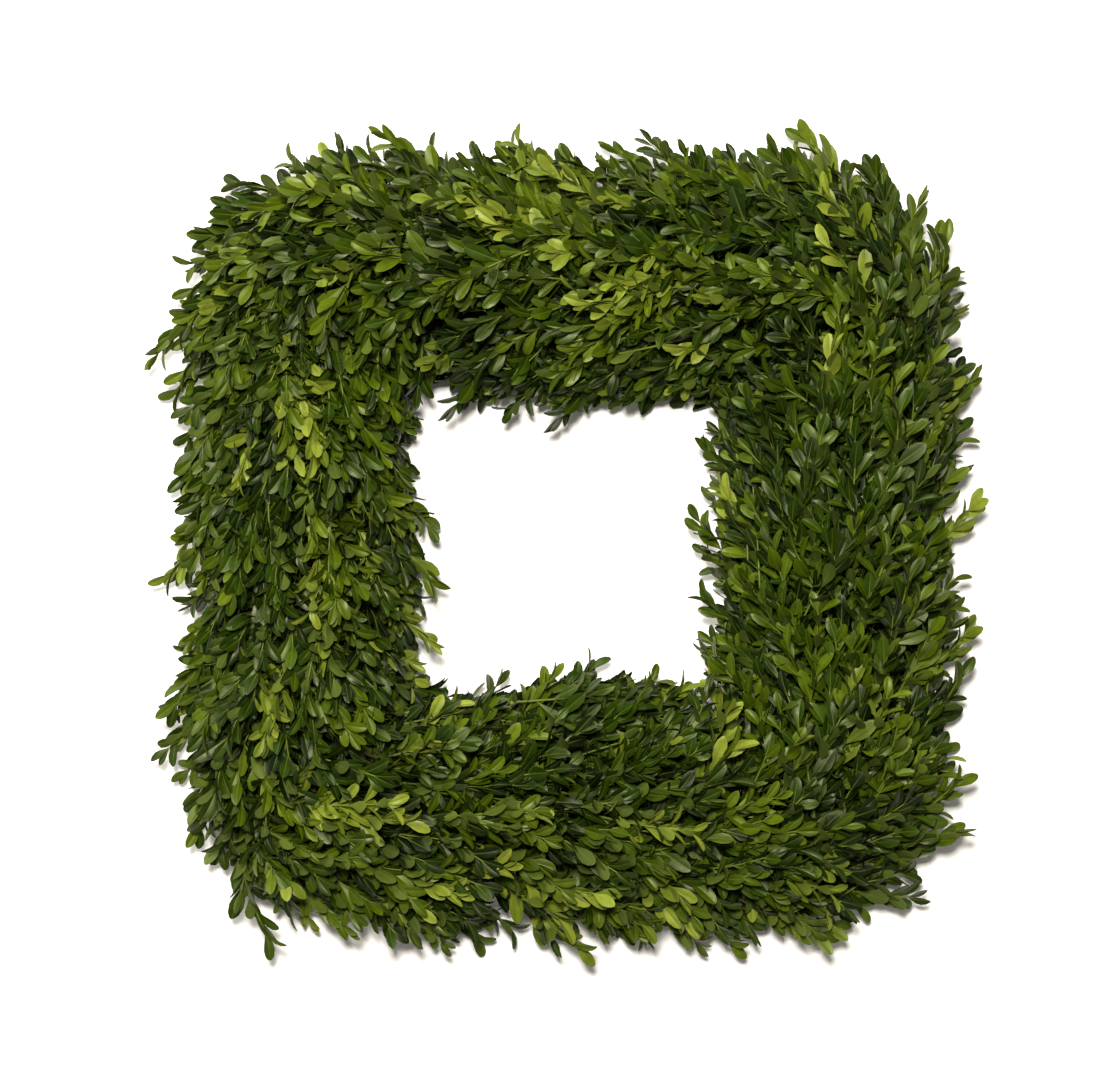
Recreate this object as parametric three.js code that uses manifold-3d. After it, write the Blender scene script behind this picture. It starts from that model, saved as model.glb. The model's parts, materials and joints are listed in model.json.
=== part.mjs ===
// Square boxwood wreath, lying on its back: a welded three-wire frame, a binding wire wound round its
// raised middle wire, and 42 bunches of boxwood whose stems it holds. The leaves all run one way round
// the ring, counterclockwise seen from the front, and lean out of it like shingles.
// Millimetres, +Z out of the wreath's face, origin on the surface it lies on, under the middle of its box.
import * as THREE from "three";
import { mergeVertices } from "three/addons/utils/BufferGeometryUtils.js";
import Module from "manifold-3d";

// Outline of the foliage, tip to tip, as two rounded squares round one centre.
const OUTER_HALF = 256;
const OUTER_CORNER = 110;
const INNER_HALF = 88;
const INNER_CORNER = 16;

// The foliage's half-round section: it springs from this height and rises this much further.
const SECTION_FOOT = 7;
const SECTION_RISE = 79;

// Wire frame.
const WIRE_RADIUS = 1.75;
const FLOOR_WIRE_SPREAD = 31;
const MIDDLE_WIRE_HEIGHT = 13;
const MIDDLE_WIRE_RADIUS = 2;
const CORNER_CHORDS = 5;
const CROSSBARS = 8;
const CROSSBAR_HALF = 1.1;

// Bunches: three rows, each with one bunch a station. Depths go from 0 at the section's centre to 1 at
// the leaf tips, and a bunch's core leans with the flow by this many millimetres from inside to outside.
const STATIONS = 14;
const CORE_INSIDE = 0.28;
const CORE_OUTSIDE = 0.6;
const CORE_LEAN = 40;
const STEM_HALF = 1.75;
const STEM_TAIL = 0.6;
const CLEARANCE = 0.3;

// Binding wire, one turn a station.
const BINDING_RADIUS = 8.8;
const BINDING_HALF = 0.7;
const BINDING_POINTS = 6;

// Stray sprigs: degrees round the ring, and how far their tips stand past the foliage's outline.
const STRAYS = {
  outer: [[5, 13], [22, 14], [50, 7], [59, 15], [155, 20], [232, 15], [271, 12], [314, 12], [323, 9]],
  inner: [[10, 12], [92, 13], [279, 14]],
};
const STRAY_WINDOW = 5;
const OVERHANG = 7;
const STRAY_SIDEWAYS = 0.85;

// Sprigs: leaf pairs on a flat stem, larger than life so that they cover the ring.
const LEAF_LENGTH = 37;
const LEAF_WIDTH = 19;
const LEAF_WIDEST = 0.56;
const LEAF_SPLAY = 44;
const LEAF_FOOT = 4.5;
const PAIR_SPACING = 22;
const FIRST_PAIR = 12;
const SPRIG_STEM_HALF = 1.4;
const BLADE_THICKNESS = 0.9;
const SPRIG_ARCH = 7;
const SPRIG_ROOT = 0.44;
const FACING_SPREAD = 0.5;

// Placing the sprigs: trials for each, and how many that fit are compared.
const SEED = 20;
const TRIES = 90;
const CHOICES = 10;
const MOST_ROOM = 45;
const CROSSING_COST = 0.8;

const UP = new THREE.Vector3(0, 0, 1);
const TURN = 2 * Math.PI;
const HALF_BAND = (OUTER_HALF - INNER_HALF) / 2;
const radians = THREE.MathUtils.degToRad;

const wasm = await Module();
wasm.setup();

// A repeatable stream of numbers from 0 to 1.
function seededStream(seed) {
  let state = seed;
  return () => {
    state = (state + 0x6d2b79f5) | 0;
    let mixed = Math.imul(state ^ (state >>> 15), 1 | state);
    mixed = (mixed + Math.imul(mixed ^ (mixed >>> 7), 61 | mixed)) ^ mixed;
    return ((mixed ^ (mixed >>> 14)) >>> 0) / 4294967296;
  };
}

// Distance from the centre to a rounded square's edge in direction angle.
function squareRadius(angle, half, corner) {
  const folded = Math.abs(angle - (Math.PI / 2) * Math.round(angle / (Math.PI / 2)));
  if (half * Math.tan(folded) <= half - corner) return half / Math.cos(folded);
  const centre = half - corner;
  const along = centre * (Math.cos(folded) + Math.sin(folded));
  return along + Math.sqrt(along * along - 2 * centre * centre + corner * corner);
}

// A point at angle round the ring, across from -1 at the hole's edge to 1 at the outer edge.
function atAngle(angle, across, height) {
  const inner = squareRadius(angle, INNER_HALF, INNER_CORNER);
  const outer = squareRadius(angle, OUTER_HALF, OUTER_CORNER);
  const radius = (inner + outer) / 2 + ((outer - inner) / 2) * across;
  return new THREE.Vector3(radius * Math.cos(angle), radius * Math.sin(angle), height);
}

// The angle at a place on the ring, which is counted in stations, somewhat outside the band's middle.
const ANGLE_STEPS = 720;
const MEASURED_ACROSS = 0.35;
const lengths = [0];
for (let i = 1; i <= ANGLE_STEPS; i++) {
  const before = atAngle(((i - 1) / ANGLE_STEPS) * TURN, MEASURED_ACROSS, 0);
  lengths.push(lengths[i - 1] + before.distanceTo(atAngle((i / ANGLE_STEPS) * TURN, MEASURED_ACROSS, 0)));
}
const STATION_LENGTH = lengths[ANGLE_STEPS] / STATIONS;

function angleAt(place) {
  const turns = Math.floor(place / STATIONS);
  const wanted = (place - turns * STATIONS) * STATION_LENGTH;
  const after = Math.max(1, lengths.findIndex((length) => length >= wanted));
  const part = (wanted - lengths[after - 1]) / (lengths[after] - lengths[after - 1]);
  return (turns + (after - 1 + part) / ANGLE_STEPS) * TURN;
}

// A point of the foliage: place on the ring, bearing round the section (0 outwards, 90 degrees up,
// 180 inwards) and depth.
function inFoliage(place, bearing, depth) {
  const across = depth * Math.cos(radians(bearing));
  return atAngle(angleAt(place), across, SECTION_FOOT + SECTION_RISE * depth * Math.sin(radians(bearing)));
}

// The way that leaves face at a place and bearing: out of the foliage, but nearer to straight up.
function leafFacing(place, bearing) {
  const along = inFoliage(place + 0.05, bearing, 0.8).sub(inFoliage(place - 0.05, bearing, 0.8));
  const level = along.cross(UP).normalize();
  const facing = radians(90 + (bearing - 90) * FACING_SPREAD);
  return level.multiplyScalar(Math.cos(facing)).addScaledVector(UP, Math.sin(facing));
}

// The solid inside a closed geometry, turned right side out.
function solidFrom(geometry) {
  geometry.deleteAttribute("normal");
  geometry.deleteAttribute("uv");
  const merged = mergeVertices(geometry, 1e-4);
  const vertProperties = Float32Array.from(merged.attributes.position.array);
  const made = (triVerts) => new wasm.Manifold(new wasm.Mesh({ numProp: 3, vertProperties, triVerts }));
  const triangles = Uint32Array.from(merged.index.array);
  const solid = made(triangles);
  return solid.volume() > 0 ? solid : made(triangles.toReversed());
}

function geometryFrom(solid) {
  const mesh = solid.getMesh();
  const geometry = new THREE.BufferGeometry();
  geometry.setAttribute("position", new THREE.BufferAttribute(new Float32Array(mesh.vertProperties), 3));
  geometry.setIndex(new THREE.BufferAttribute(new Uint32Array(mesh.triVerts), 1));
  geometry.computeVertexNormals();
  return geometry;
}

function joined(solids) {
  return solids.reduce((whole, next) => whole.add(next));
}

// A path of straight pieces. At each bend its frame has one axis level, to the path's right, and one
// square to that and to the path.
class BentPath extends THREE.Curve {
  constructor(points, isRing) {
    super();
    this.points = points;
    this.isRing = isRing;
  }

  getSpacedPoints() {
    return this.isRing ? [...this.points, this.points[0]] : this.points;
  }

  computeFrenetFrames() {
    const { points, isRing } = this;
    const last = points.length - 1;
    const frames = { tangents: [], normals: [], binormals: [] };
    this.getSpacedPoints().forEach((point, i) => {
      const before = points[isRing ? (i + last) % points.length : Math.max(i - 1, 0)];
      const after = points[isRing ? (i + 1) % points.length : Math.min(i + 1, last)];
      const onward = after.clone().sub(point).normalize();
      const tangent = point.clone().sub(before).normalize().add(onward).normalize();
      const level = new THREE.Vector3().crossVectors(tangent, UP).normalize();
      frames.tangents.push(tangent);
      frames.normals.push(level);
      frames.binormals.push(new THREE.Vector3().crossVectors(level, tangent));
    });
    return frames;
  }
}

// A tube through points, with a corner of its section at startAngle from the level axis. A ring of
// tube has no lids: its last section is its first.
function tubeThrough(points, { sides, radius, startAngle = 0, isRing = false }) {
  const section = new THREE.Shape();
  for (let k = 0; k < sides; k++) {
    const around = startAngle + (k / sides) * TURN;
    const corner = [radius * Math.cos(around), radius * Math.sin(around)];
    if (k === 0) section.moveTo(...corner);
    else section.lineTo(...corner);
  }
  section.closePath();
  const steps = isRing ? points.length : points.length - 1;
  const extrudePath = new BentPath(points, isRing);
  const geometry = new THREE.ExtrudeGeometry(section, { steps, extrudePath, bevelEnabled: false });
  if (isRing) {
    const [, walls] = geometry.groups;
    const end = walls.start + walls.count;
    const corners = geometry.attributes.position.array.slice(3 * walls.start, 3 * end);
    geometry.setAttribute("position", new THREE.BufferAttribute(corners, 3));
  }
  return solidFrom(geometry);
}

// Angles at which the wires bend: straight along the sides, in short chords round the corners.
const STRAIGHT_END = Math.atan2(OUTER_HALF - OUTER_CORNER, OUTER_HALF);
const bendAngles = [];
for (let side = 0; side < 4; side++) {
  for (let i = 0; i <= CORNER_CHORDS; i++) {
    const bend = STRAIGHT_END + (i / CORNER_CHORDS) * (TURN / 4 - 2 * STRAIGHT_END);
    bendAngles.push((side * TURN) / 4 + bend);
  }
}

// A point beside a wire at angle, on the straight chord between the wire's bends.
function besideWire(angle, across, height) {
  const after = Math.max(0, bendAngles.findIndex((bend) => bend > angle % TURN));
  const [from, to] = [bendAngles.at(after - 1), bendAngles[after]];
  const [a, b] = [atAngle(from, across, height), atAngle(to, across, height)];
  const ray = new THREE.Vector3(-Math.sin(angle), Math.cos(angle), 0);
  return a.lerp(b, a.dot(ray) / (a.dot(ray) - b.dot(ray)));
}

function frameWire(outwards, height, radius) {
  const points = bendAngles.map((angle) => atAngle(angle, outwards / HALF_BAND, height));
  return tubeThrough(points, { sides: 6, radius, isRing: true });
}

// An arched bar that carries the raised middle wire from the two wires on the surface.
const FLOOR_WIRE_HEIGHT = WIRE_RADIUS * Math.cos(Math.PI / 6);
function crossbar(place) {
  const arch = [
    [-FLOOR_WIRE_SPREAD, FLOOR_WIRE_HEIGHT],
    [0, MIDDLE_WIRE_HEIGHT - MIDDLE_WIRE_RADIUS - 0.4],
    [FLOOR_WIRE_SPREAD, FLOOR_WIRE_HEIGHT],
  ];
  const points = arch.map(([outwards, height]) => atAngle(angleAt(place), outwards / HALF_BAND, height));
  return tubeThrough(points, { sides: 4, radius: CROSSBAR_HALF * Math.SQRT2, startAngle: Math.PI / 4 });
}

function wireFrame() {
  const wires = [
    frameWire(-FLOOR_WIRE_SPREAD, FLOOR_WIRE_HEIGHT, WIRE_RADIUS),
    frameWire(0, MIDDLE_WIRE_HEIGHT, MIDDLE_WIRE_RADIUS),
    frameWire(FLOOR_WIRE_SPREAD, FLOOR_WIRE_HEIGHT, WIRE_RADIUS),
  ];
  for (let i = 0; i < CROSSBARS; i++) wires.push(crossbar((STATIONS * i) / CROSSBARS));
  return joined(wires);
}

// The binding wire: one long coil round the middle wire and the stems that lie along it.
function bindingWire() {
  const points = [];
  for (let i = 0; i < STATIONS * BINDING_POINTS; i++) {
    const around = (i / BINDING_POINTS) * TURN;
    const across = (BINDING_RADIUS * Math.cos(around)) / HALF_BAND;
    const height = MIDDLE_WIRE_HEIGHT + BINDING_RADIUS * Math.sin(around);
    points.push(atAngle(angleAt(i / BINDING_POINTS), across, height));
  }
  return tubeThrough(points, { sides: 4, radius: BINDING_HALF * Math.SQRT2, startAngle: Math.PI / 4 });
}

// The rows of bunches. stemAt: degrees round the middle wire at which the stem lies; leavesAt: the part
// of a station at which it turns out; bearings: what the core fills; sprigs, in two turns: part of the
// station, bearing of the tip, leaf pairs.
const ROWS = {
  outer: {
    stemAt: 12,
    leavesAt: 0.5,
    bearings: [6, 52],
    sprigs: [
      [[0.15, 11, 3], [0.5, 46, 3], [0.8, 24, 2]],
      [[0.2, 32, 2], [0.5, 12, 3], [0.85, 56, 3]],
    ],
  },
  middle: {
    stemAt: 90,
    leavesAt: 0.75,
    bearings: [68, 112],
    sprigs: [
      [[0.3, 70, 3], [0.75, 106, 3]],
      [[0.2, 116, 3], [0.7, 86, 3]],
    ],
  },
  inner: {
    stemAt: 168,
    leavesAt: 1,
    bearings: [128, 174],
    sprigs: [
      [[0.25, 130, 2], [0.75, 169, 3]],
      [[0.25, 166, 2], [0.75, 146, 2]],
    ],
  },
};

// The dense middle of a bunch, in which its twigs cross: a rough block that leans as the leaves do.
function bunchCore(row, station) {
  const vary = seededStream(station + 100 * row.leavesAt);
  const block = new THREE.BoxGeometry(1, 1, 1, 2, 1, 1);
  block.deleteAttribute("normal");
  block.deleteAttribute("uv");
  const core = mergeVertices(block, 1e-4);
  const corners = core.attributes.position;
  for (let i = 0; i < corners.count; i++) {
    const isOutside = corners.getZ(i) > 0;
    const lean = isOutside ? CORE_LEAN / STATION_LENGTH : 0;
    const taper = isOutside ? 0.68 : 1;
    const part = 0.5 + corners.getX(i) * (taper - 0.12);
    const bearing = THREE.MathUtils.lerp(...row.bearings, 0.5 + corners.getY(i) * taper);
    const depth = isOutside ? CORE_OUTSIDE - 0.08 + 0.1 * vary() : CORE_INSIDE;
    corners.setXYZ(i, ...inFoliage(station + row.leavesAt + lean + part, bearing, depth));
  }
  return solidFrom(core);
}

// The bunch's bound stems: along the middle wire under the binding, then out between its turns.
function bunchStem(row, station) {
  const reach = MIDDLE_WIRE_RADIUS + CLEARANCE + STEM_HALF;
  const across = (reach * Math.cos(radians(row.stemAt))) / HALF_BAND;
  const height = MIDDLE_WIRE_HEIGHT + reach * Math.sin(radians(row.stemAt));
  const exit = station + row.leavesAt;
  const [from, to] = [angleAt(exit - STEM_TAIL), angleAt(exit)];
  const bends = [...bendAngles, ...bendAngles.map((angle) => angle + TURN)];
  const angles = [from, ...bends.filter((angle) => angle > from + 0.005 && angle < to - 0.005), to];
  const points = angles.map((angle) => besideWire(angle, across, height));
  const middle = (row.bearings[0] + row.bearings[1]) / 2;
  points.push(inFoliage(exit + 0.28, middle, CORE_INSIDE + 0.06));
  return tubeThrough(points, { sides: 4, radius: STEM_HALF * Math.SQRT2, startAngle: Math.PI / 4 });
}

// A plate under a faceted top face: the same face again below, and a wall along its rim.
function plate(points, faces, rim, drop) {
  const count = points.length;
  const triangles = faces.flatMap(([a, b, c]) => [a, b, c, a + count, c + count, b + count]);
  rim.forEach((a, i) => {
    const b = rim[(i + 1) % rim.length];
    triangles.push(a, b, a + count, b, b + count, a + count);
  });
  const corners = [...points, ...points.map((point) => point.clone().add(drop))];
  return solidFrom(new THREE.BufferGeometry().setFromPoints(corners).setIndex(triangles));
}

const SPRIG_LENGTH = (pairs) => FIRST_PAIR + (pairs - 1) * PAIR_SPACING + LEAF_FOOT + 8 + LEAF_LENGTH;

// A sprig as one arched blade cut to its leaves. Each leaf has five corners and is folded across, and
// the faces on both sides are split alike. The blade runs from base to tip.
function sprigBlade({ base, tip, out, pairs, seed, extra }) {
  const vary = seededStream(seed);
  const length = SPRIG_LENGTH(pairs);
  const scale = tip.distanceTo(base) / length;
  const forward = tip.clone().sub(base).normalize();
  const normal = out.clone().addScaledVector(forward, -out.dot(forward)).normalize();
  const side = new THREE.Vector3().crossVectors(normal, forward);
  const thickness = BLADE_THICKNESS + 2 * extra;
  const points = [];
  const faces = [];
  const place = (x, y, lift) => {
    const arch = 4 * SPRIG_ARCH * (x / length) * (1 - x / length);
    const point = base.clone().addScaledVector(forward, x * scale).addScaledVector(side, y * scale);
    points.push(point.addScaledVector(normal, arch + lift + thickness / 2));
    return points.length - 1;
  };
  const acrossStem = (x) => [place(x, SPRIG_STEM_HALF, 0), place(x, -SPRIG_STEM_HALF, 0)];
  let stem = acrossStem(0);
  const root = stem;
  const stemTo = (x) => {
    const next = acrossStem(x);
    faces.push([stem[0], stem[1], next[1]], [stem[0], next[1], next[0]]);
    stem = next;
  };
  const edges = [[], []];
  const splay = radians(LEAF_SPLAY);
  for (let pair = 0; pair < pairs; pair++) {
    const start = FIRST_PAIR + pair * PAIR_SPACING;
    stemTo(start);
    const near = stem;
    stemTo(start + LEAF_FOOT);
    const far = stem;
    [1, -1].forEach((hand, h) => {
      const leafLength = LEAF_LENGTH * (0.9 + 0.2 * vary());
      const turn = splay + radians(16 * (vary() - 0.5));
      const at = (along, across, lift) => {
        const [u, v] = [along * leafLength, across * LEAF_WIDTH];
        const x = start + LEAF_FOOT / 2 + Math.cos(turn) * u - Math.sin(turn) * v;
        return place(x, hand * (SPRIG_STEM_HALF + Math.sin(turn) * u + Math.cos(turn) * v), lift);
      };
      const rise = 3 * vary();
      const back = at(LEAF_WIDEST - 0.06, 0.5, rise);
      const end = at(1, 0, -3 + 5 * vary());
      const front = at(LEAF_WIDEST + 0.06, -0.5, rise + 1.5);
      const leaf = [
        [near[h], far[h], front],
        [near[h], front, back],
        [back, front, end],
      ];
      faces.push(...leaf.map(([a, b, c]) => (h === 0 ? [a, b, c] : [a, c, b])));
      edges[h].push(near[h], back, end, front, far[h]);
    });
  }
  const start = length - LEAF_LENGTH;
  stemTo(start);
  const wide = start + LEAF_WIDEST * LEAF_LENGTH;
  const [left, right] = [place(wide, LEAF_WIDTH / 2, 1.2), place(wide, -LEAF_WIDTH / 2, 1.2)];
  const end = place(length, 0, 0);
  faces.push([stem[0], stem[1], right], [stem[0], right, left], [left, right, end]);
  const rim = [root[0], ...edges[0], stem[0], left, end, right, stem[1], ...edges[1].toReversed(), root[1]];
  return plate(points, faces, rim, normal.clone().multiplyScalar(-thickness));
}

// Every bunch's core and stem first, so that the sprigs can be set clear of all of them.
const bunches = [];
for (const [rowName, row] of Object.entries(ROWS)) {
  for (let station = 0; station < STATIONS; station++) {
    const name = `${rowName}_bunch_${String(station + 1).padStart(2, "0")}`;
    bunches.push({ name, row, station, body: bunchCore(row, station).add(bunchStem(row, station)) });
  }
}

const chance = seededStream(SEED);
const varied = (middle, spread) => middle + (chance() * 2 - 1) * spread;

// The stray, if any, that a tip with this bearing is near.
function strayNear(tip, bearing) {
  const sideways = Math.cos(radians(bearing));
  if (Math.abs(sideways) < STRAY_SIDEWAYS) return undefined;
  const angle = THREE.MathUtils.radToDeg(Math.atan2(tip.y, tip.x));
  const apart = (at) => Math.abs(THREE.MathUtils.euclideanModulo(at - angle + 180, 360) - 180);
  return (sideways > 0 ? STRAYS.outer : STRAYS.inner).find(([at]) => apart(at) < STRAY_WINDOW);
}

// Whether a sprig keeps within the outline, seen from above, but for its stray tip.
function keepsInside(solid, reach) {
  const { numProp, vertProperties } = solid.getMesh();
  for (let i = 0; i < vertProperties.length; i += numProp) {
    const [x, y] = [vertProperties[i], vertProperties[i + 1]];
    const inner = squareRadius(Math.atan2(y, x), INNER_HALF, INNER_CORNER);
    const outer = squareRadius(Math.atan2(y, x), OUTER_HALF, OUTER_CORNER);
    const radius = Math.hypot(x, y);
    if (radius > outer + OVERHANG + reach || radius < inner - OVERHANG - reach) return false;
  }
  return true;
}

// A trial sprig. Its tip lands on the outline of the foliage; more strength strays further from plan.
function trialSprig(bunch, [part, bearing, pairs], strength) {
  const [from, to] = bunch.row.bearings;
  const rootBearing = THREE.MathUtils.clamp((bearing + from + to) / 3 + varied(0, 4), from + 9, to - 9);
  const lean = (CORE_LEAN * (SPRIG_ROOT - CORE_INSIDE)) / (CORE_OUTSIDE - CORE_INSIDE) / STATION_LENGTH;
  const rootPart = THREE.MathUtils.clamp(varied(part, 0.06 * strength), 0.2, 0.8);
  const place = bunch.station + bunch.row.leavesAt + lean + rootPart;
  const base = inFoliage(place, rootBearing, SPRIG_ROOT);
  const tipBearing = varied(bearing, 3 * strength);
  const tipDepth = varied(1, 0.05);
  const wanted = SPRIG_LENGTH(pairs) * varied(0.98, 0.05);
  let ahead = 1;
  let tip = base;
  for (let step = 0; step < 6; step++) {
    tip = inFoliage(place + ahead, tipBearing, tipDepth);
    ahead *= wanted / tip.distanceTo(base);
  }
  const [strayAngle, reach] = strayNear(tip, tipBearing) ?? [0, 0];
  if (reach > 0) {
    const across = Math.sign(Math.cos(radians(tipBearing))) * (1 + reach / HALF_BAND);
    tip = atAngle(radians(strayAngle), across, tip.z);
  }
  const out = leafFacing(place + ahead / 2, (rootBearing + tipBearing) / 2);
  const side = tip.clone().sub(base).cross(out).normalize();
  out.addScaledVector(side, Math.tan(radians(varied(0, 14))));
  return { base, tip, out, pairs, reach, seed: Math.floor(chance() * 1e6), extra: 0 };
}

const frame = wireFrame();
const binding = bindingWire();

// How far a sprig's leaves would be from those of the sprigs that are already there.
const grownMarks = [];
const marksOf = ({ base, tip }) => [0.45, 0.7, 0.95].map((part) => base.clone().lerp(tip, part));
function roomFor(sprig) {
  const distances = marksOf(sprig).map((mark) =>
    Math.min(MOST_ROOM, ...grownMarks.map((other) => other.distanceTo(mark))),
  );
  return distances.reduce((sum, distance) => sum + distance);
}

// Adds a sprig to a bunch: of a few trials that stand clear of all other pieces, the one with the
// most room round it.
function growSprig(bunch, [part, bearing, pairs]) {
  const others = bunches.filter((other) => other !== bunch).map((other) => other.body);
  const fitting = [];
  for (let attempt = 0; attempt < TRIES && fitting.length < CHOICES; attempt++) {
    const plan = [part, bearing, Math.max(1, pairs - Math.floor((2 * attempt) / TRIES))];
    const sprig = trialSprig(bunch, plan, 1.5 + (4 * attempt) / TRIES);
    const blade = sprigBlade(sprig);
    if (blade.boundingBox().min[2] < 1.5 || blade.intersect(bunch.body).volume() < 5) continue;
    if (!keepsInside(blade, sprig.reach)) continue;
    const guard = sprigBlade({ ...sprig, extra: CLEARANCE });
    const isClear = [frame, binding, ...others].every((solid) => guard.intersect(solid).volume() < 1e-6);
    const grown = bunch.body.add(blade);
    if (isClear) fitting.push({ sprig, grown, score: roomFor(sprig) - CROSSING_COST * grown.numTri() });
  }
  if (!fitting.length) return;
  const best = fitting.reduce((most, next) => (next.score > most.score ? next : most));
  bunch.body = best.grown;
  grownMarks.push(...marksOf(best.sprig));
}

for (let station = 0; station < STATIONS; station++) {
  for (const bunch of bunches.filter((one) => one.station === station)) {
    for (const plan of bunch.row.sprigs[station % 2]) growSprig(bunch, plan);
  }
}

const leafGreens = [0x4c6626, 0x3f5a20, 0x5b7630, 0x49602a].map(
  (color) => new THREE.MeshStandardMaterial({ color, roughness: 0.55, metalness: 0 }),
);
const frameMetal = new THREE.MeshStandardMaterial({ color: 0x2b3327, roughness: 0.5, metalness: 0.8 });
const bindingMetal = new THREE.MeshStandardMaterial({ color: 0x2f4a2a, roughness: 0.45, metalness: 0.7 });

const wreath = new THREE.Group();
function addPiece(name, solid, material) {
  const mesh = new THREE.Mesh(geometryFrom(solid), material);
  mesh.name = name;
  wreath.add(mesh);
}

addPiece("wire_frame", frame, frameMetal);
addPiece("binding_wire", binding, bindingMetal);
for (const [i, bunch] of bunches.entries()) {
  addPiece(bunch.name, bunch.body, leafGreens[(i * 3 + bunch.station) % leafGreens.length]);
}

// The origin goes under the middle of the wreath's box.
const box = new THREE.Box3().setFromObject(wreath);
wreath.position.set(-(box.min.x + box.max.x) / 2, -(box.min.y + box.max.y) / 2, 0);

export default wreath;
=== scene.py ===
"""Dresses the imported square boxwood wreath, which lies on its back, with real leaves, twigs and wires.

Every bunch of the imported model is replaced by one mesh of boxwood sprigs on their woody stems, and both
wires by round ones. Sizes in the classes are in millimetres and are turned to metres when a mesh is made.
"""

from __future__ import annotations

import json
import logging
import math
import random
from bisect import bisect_left
from dataclasses import dataclass, field
from enum import Enum
from functools import cached_property, partial
from typing import Any, Sequence

import bpy
from mathutils import Matrix, Quaternion, Vector

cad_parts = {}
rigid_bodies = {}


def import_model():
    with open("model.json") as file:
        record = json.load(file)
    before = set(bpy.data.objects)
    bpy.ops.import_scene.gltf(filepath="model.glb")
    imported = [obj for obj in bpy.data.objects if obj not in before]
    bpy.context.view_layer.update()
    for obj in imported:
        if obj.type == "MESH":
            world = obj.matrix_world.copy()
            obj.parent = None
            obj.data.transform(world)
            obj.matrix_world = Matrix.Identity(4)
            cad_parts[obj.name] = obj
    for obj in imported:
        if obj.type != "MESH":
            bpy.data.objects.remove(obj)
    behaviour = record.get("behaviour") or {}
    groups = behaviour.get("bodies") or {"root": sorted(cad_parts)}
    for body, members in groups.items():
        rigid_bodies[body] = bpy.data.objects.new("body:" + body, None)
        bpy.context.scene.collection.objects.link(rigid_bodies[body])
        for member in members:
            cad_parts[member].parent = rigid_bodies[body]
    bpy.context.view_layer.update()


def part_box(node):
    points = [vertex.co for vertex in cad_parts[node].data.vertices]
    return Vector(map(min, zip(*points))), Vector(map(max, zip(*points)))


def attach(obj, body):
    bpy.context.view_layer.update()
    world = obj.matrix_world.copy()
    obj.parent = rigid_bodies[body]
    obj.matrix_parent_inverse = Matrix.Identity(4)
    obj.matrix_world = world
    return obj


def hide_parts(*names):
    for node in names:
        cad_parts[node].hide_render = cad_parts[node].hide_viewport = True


log = logging.getLogger("wreath")

MM = 0.001
UP = Vector((0.0, 0.0, 1.0))
TURN = 2.0 * math.pi
UNTURNED = (1.0, 0.0, 0.0, 0.0)

# These steps, taken over and over round a unit square, fill it evenly whatever their number.
EVEN_STEPS = (0.7548776662466927, 0.5698402909980532)

# No point of a stem or twig lies lower than this over the floor, in millimetres, so that none sinks in.
LOWEST = 1.2


def linear(colour: str) -> tuple[float, float, float, float]:
    """Turns an sRGB hex colour to linear light.

    Args:
        colour: The colour, such as "#3D5320".

    Returns:
        Red, green, blue and an alpha of 1.
    """
    parts = [int(colour[i : i + 2], 16) / 255.0 for i in (1, 3, 5)]
    light = [p / 12.92 if p <= 0.04045 else ((p + 0.055) / 1.055) ** 2.4 for p in parts]
    return light[0], light[1], light[2], 1.0


def feed(tree: bpy.types.NodeTree, node: Any, sockets: dict[Any, Any]) -> None:
    """Gives a node's inputs their values and links.

    Args:
        tree: The node tree that it is in.
        node: The node.
        sockets: For an input's name, number or identifier, its value or what feeds it. That is an output, a
            node whose first output in use is meant, or a list of such for an input that takes several.
    """
    known = {socket.identifier: socket for socket in node.inputs}
    for name, value in sockets.items():
        socket = known[name] if name in known else node.inputs[name]
        for source in value if isinstance(value, list) else [value]:
            if isinstance(source, bpy.types.Node):
                source = next(output for output in source.outputs if output.enabled)
            if isinstance(source, bpy.types.NodeSocket):
                tree.links.new(source, socket)
            else:
                socket.default_value = source


def add_node(
    tree: bpy.types.NodeTree, kind: str, sockets: dict[Any, Any] | None = None, **settings: Any
) -> Any:
    """Adds a node with its settings and links.

    Args:
        tree: The node tree that it goes into.
        kind: The node's type name.
        sockets: The values and links of its inputs, as feed takes them.
        settings: The node's own properties.

    Returns:
        The new node.
    """
    node = tree.nodes.new(kind)
    for name, value in settings.items():
        setattr(node, name, value)
    feed(tree, node, sockets or {})
    return node


def new_material(name: str) -> tuple[bpy.types.Material, bpy.types.NodeTree, Any]:
    """Starts a material.

    Args:
        name: The material's name.

    Returns:
        The material, its node tree and its surface shader.
    """
    material = bpy.data.materials.new(name)
    material.use_nodes = True
    return material, material.node_tree, material.node_tree.nodes["Principled BSDF"]


def new_tree(name: str, **inputs: Sequence[str]) -> tuple[bpy.types.NodeTree, Any]:
    """Starts a Geometry Nodes tree, whose first input is always the geometry.

    Args:
        name: The tree's name.
        inputs: The names of its other inputs, under the kind of socket that they are.

    Returns:
        The tree, and the outputs that carry its inputs.
    """
    tree = bpy.data.node_groups.new(name, "GeometryNodeTree")
    for way in ("INPUT", "OUTPUT"):
        tree.interface.new_socket("Geometry", in_out=way, socket_type="NodeSocketGeometry")
    for kind, labels in inputs.items():
        for label in labels:
            tree.interface.new_socket(label, in_out="INPUT", socket_type=f"NodeSocket{kind}")
    return tree, tree.nodes.new("NodeGroupInput").outputs


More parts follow.
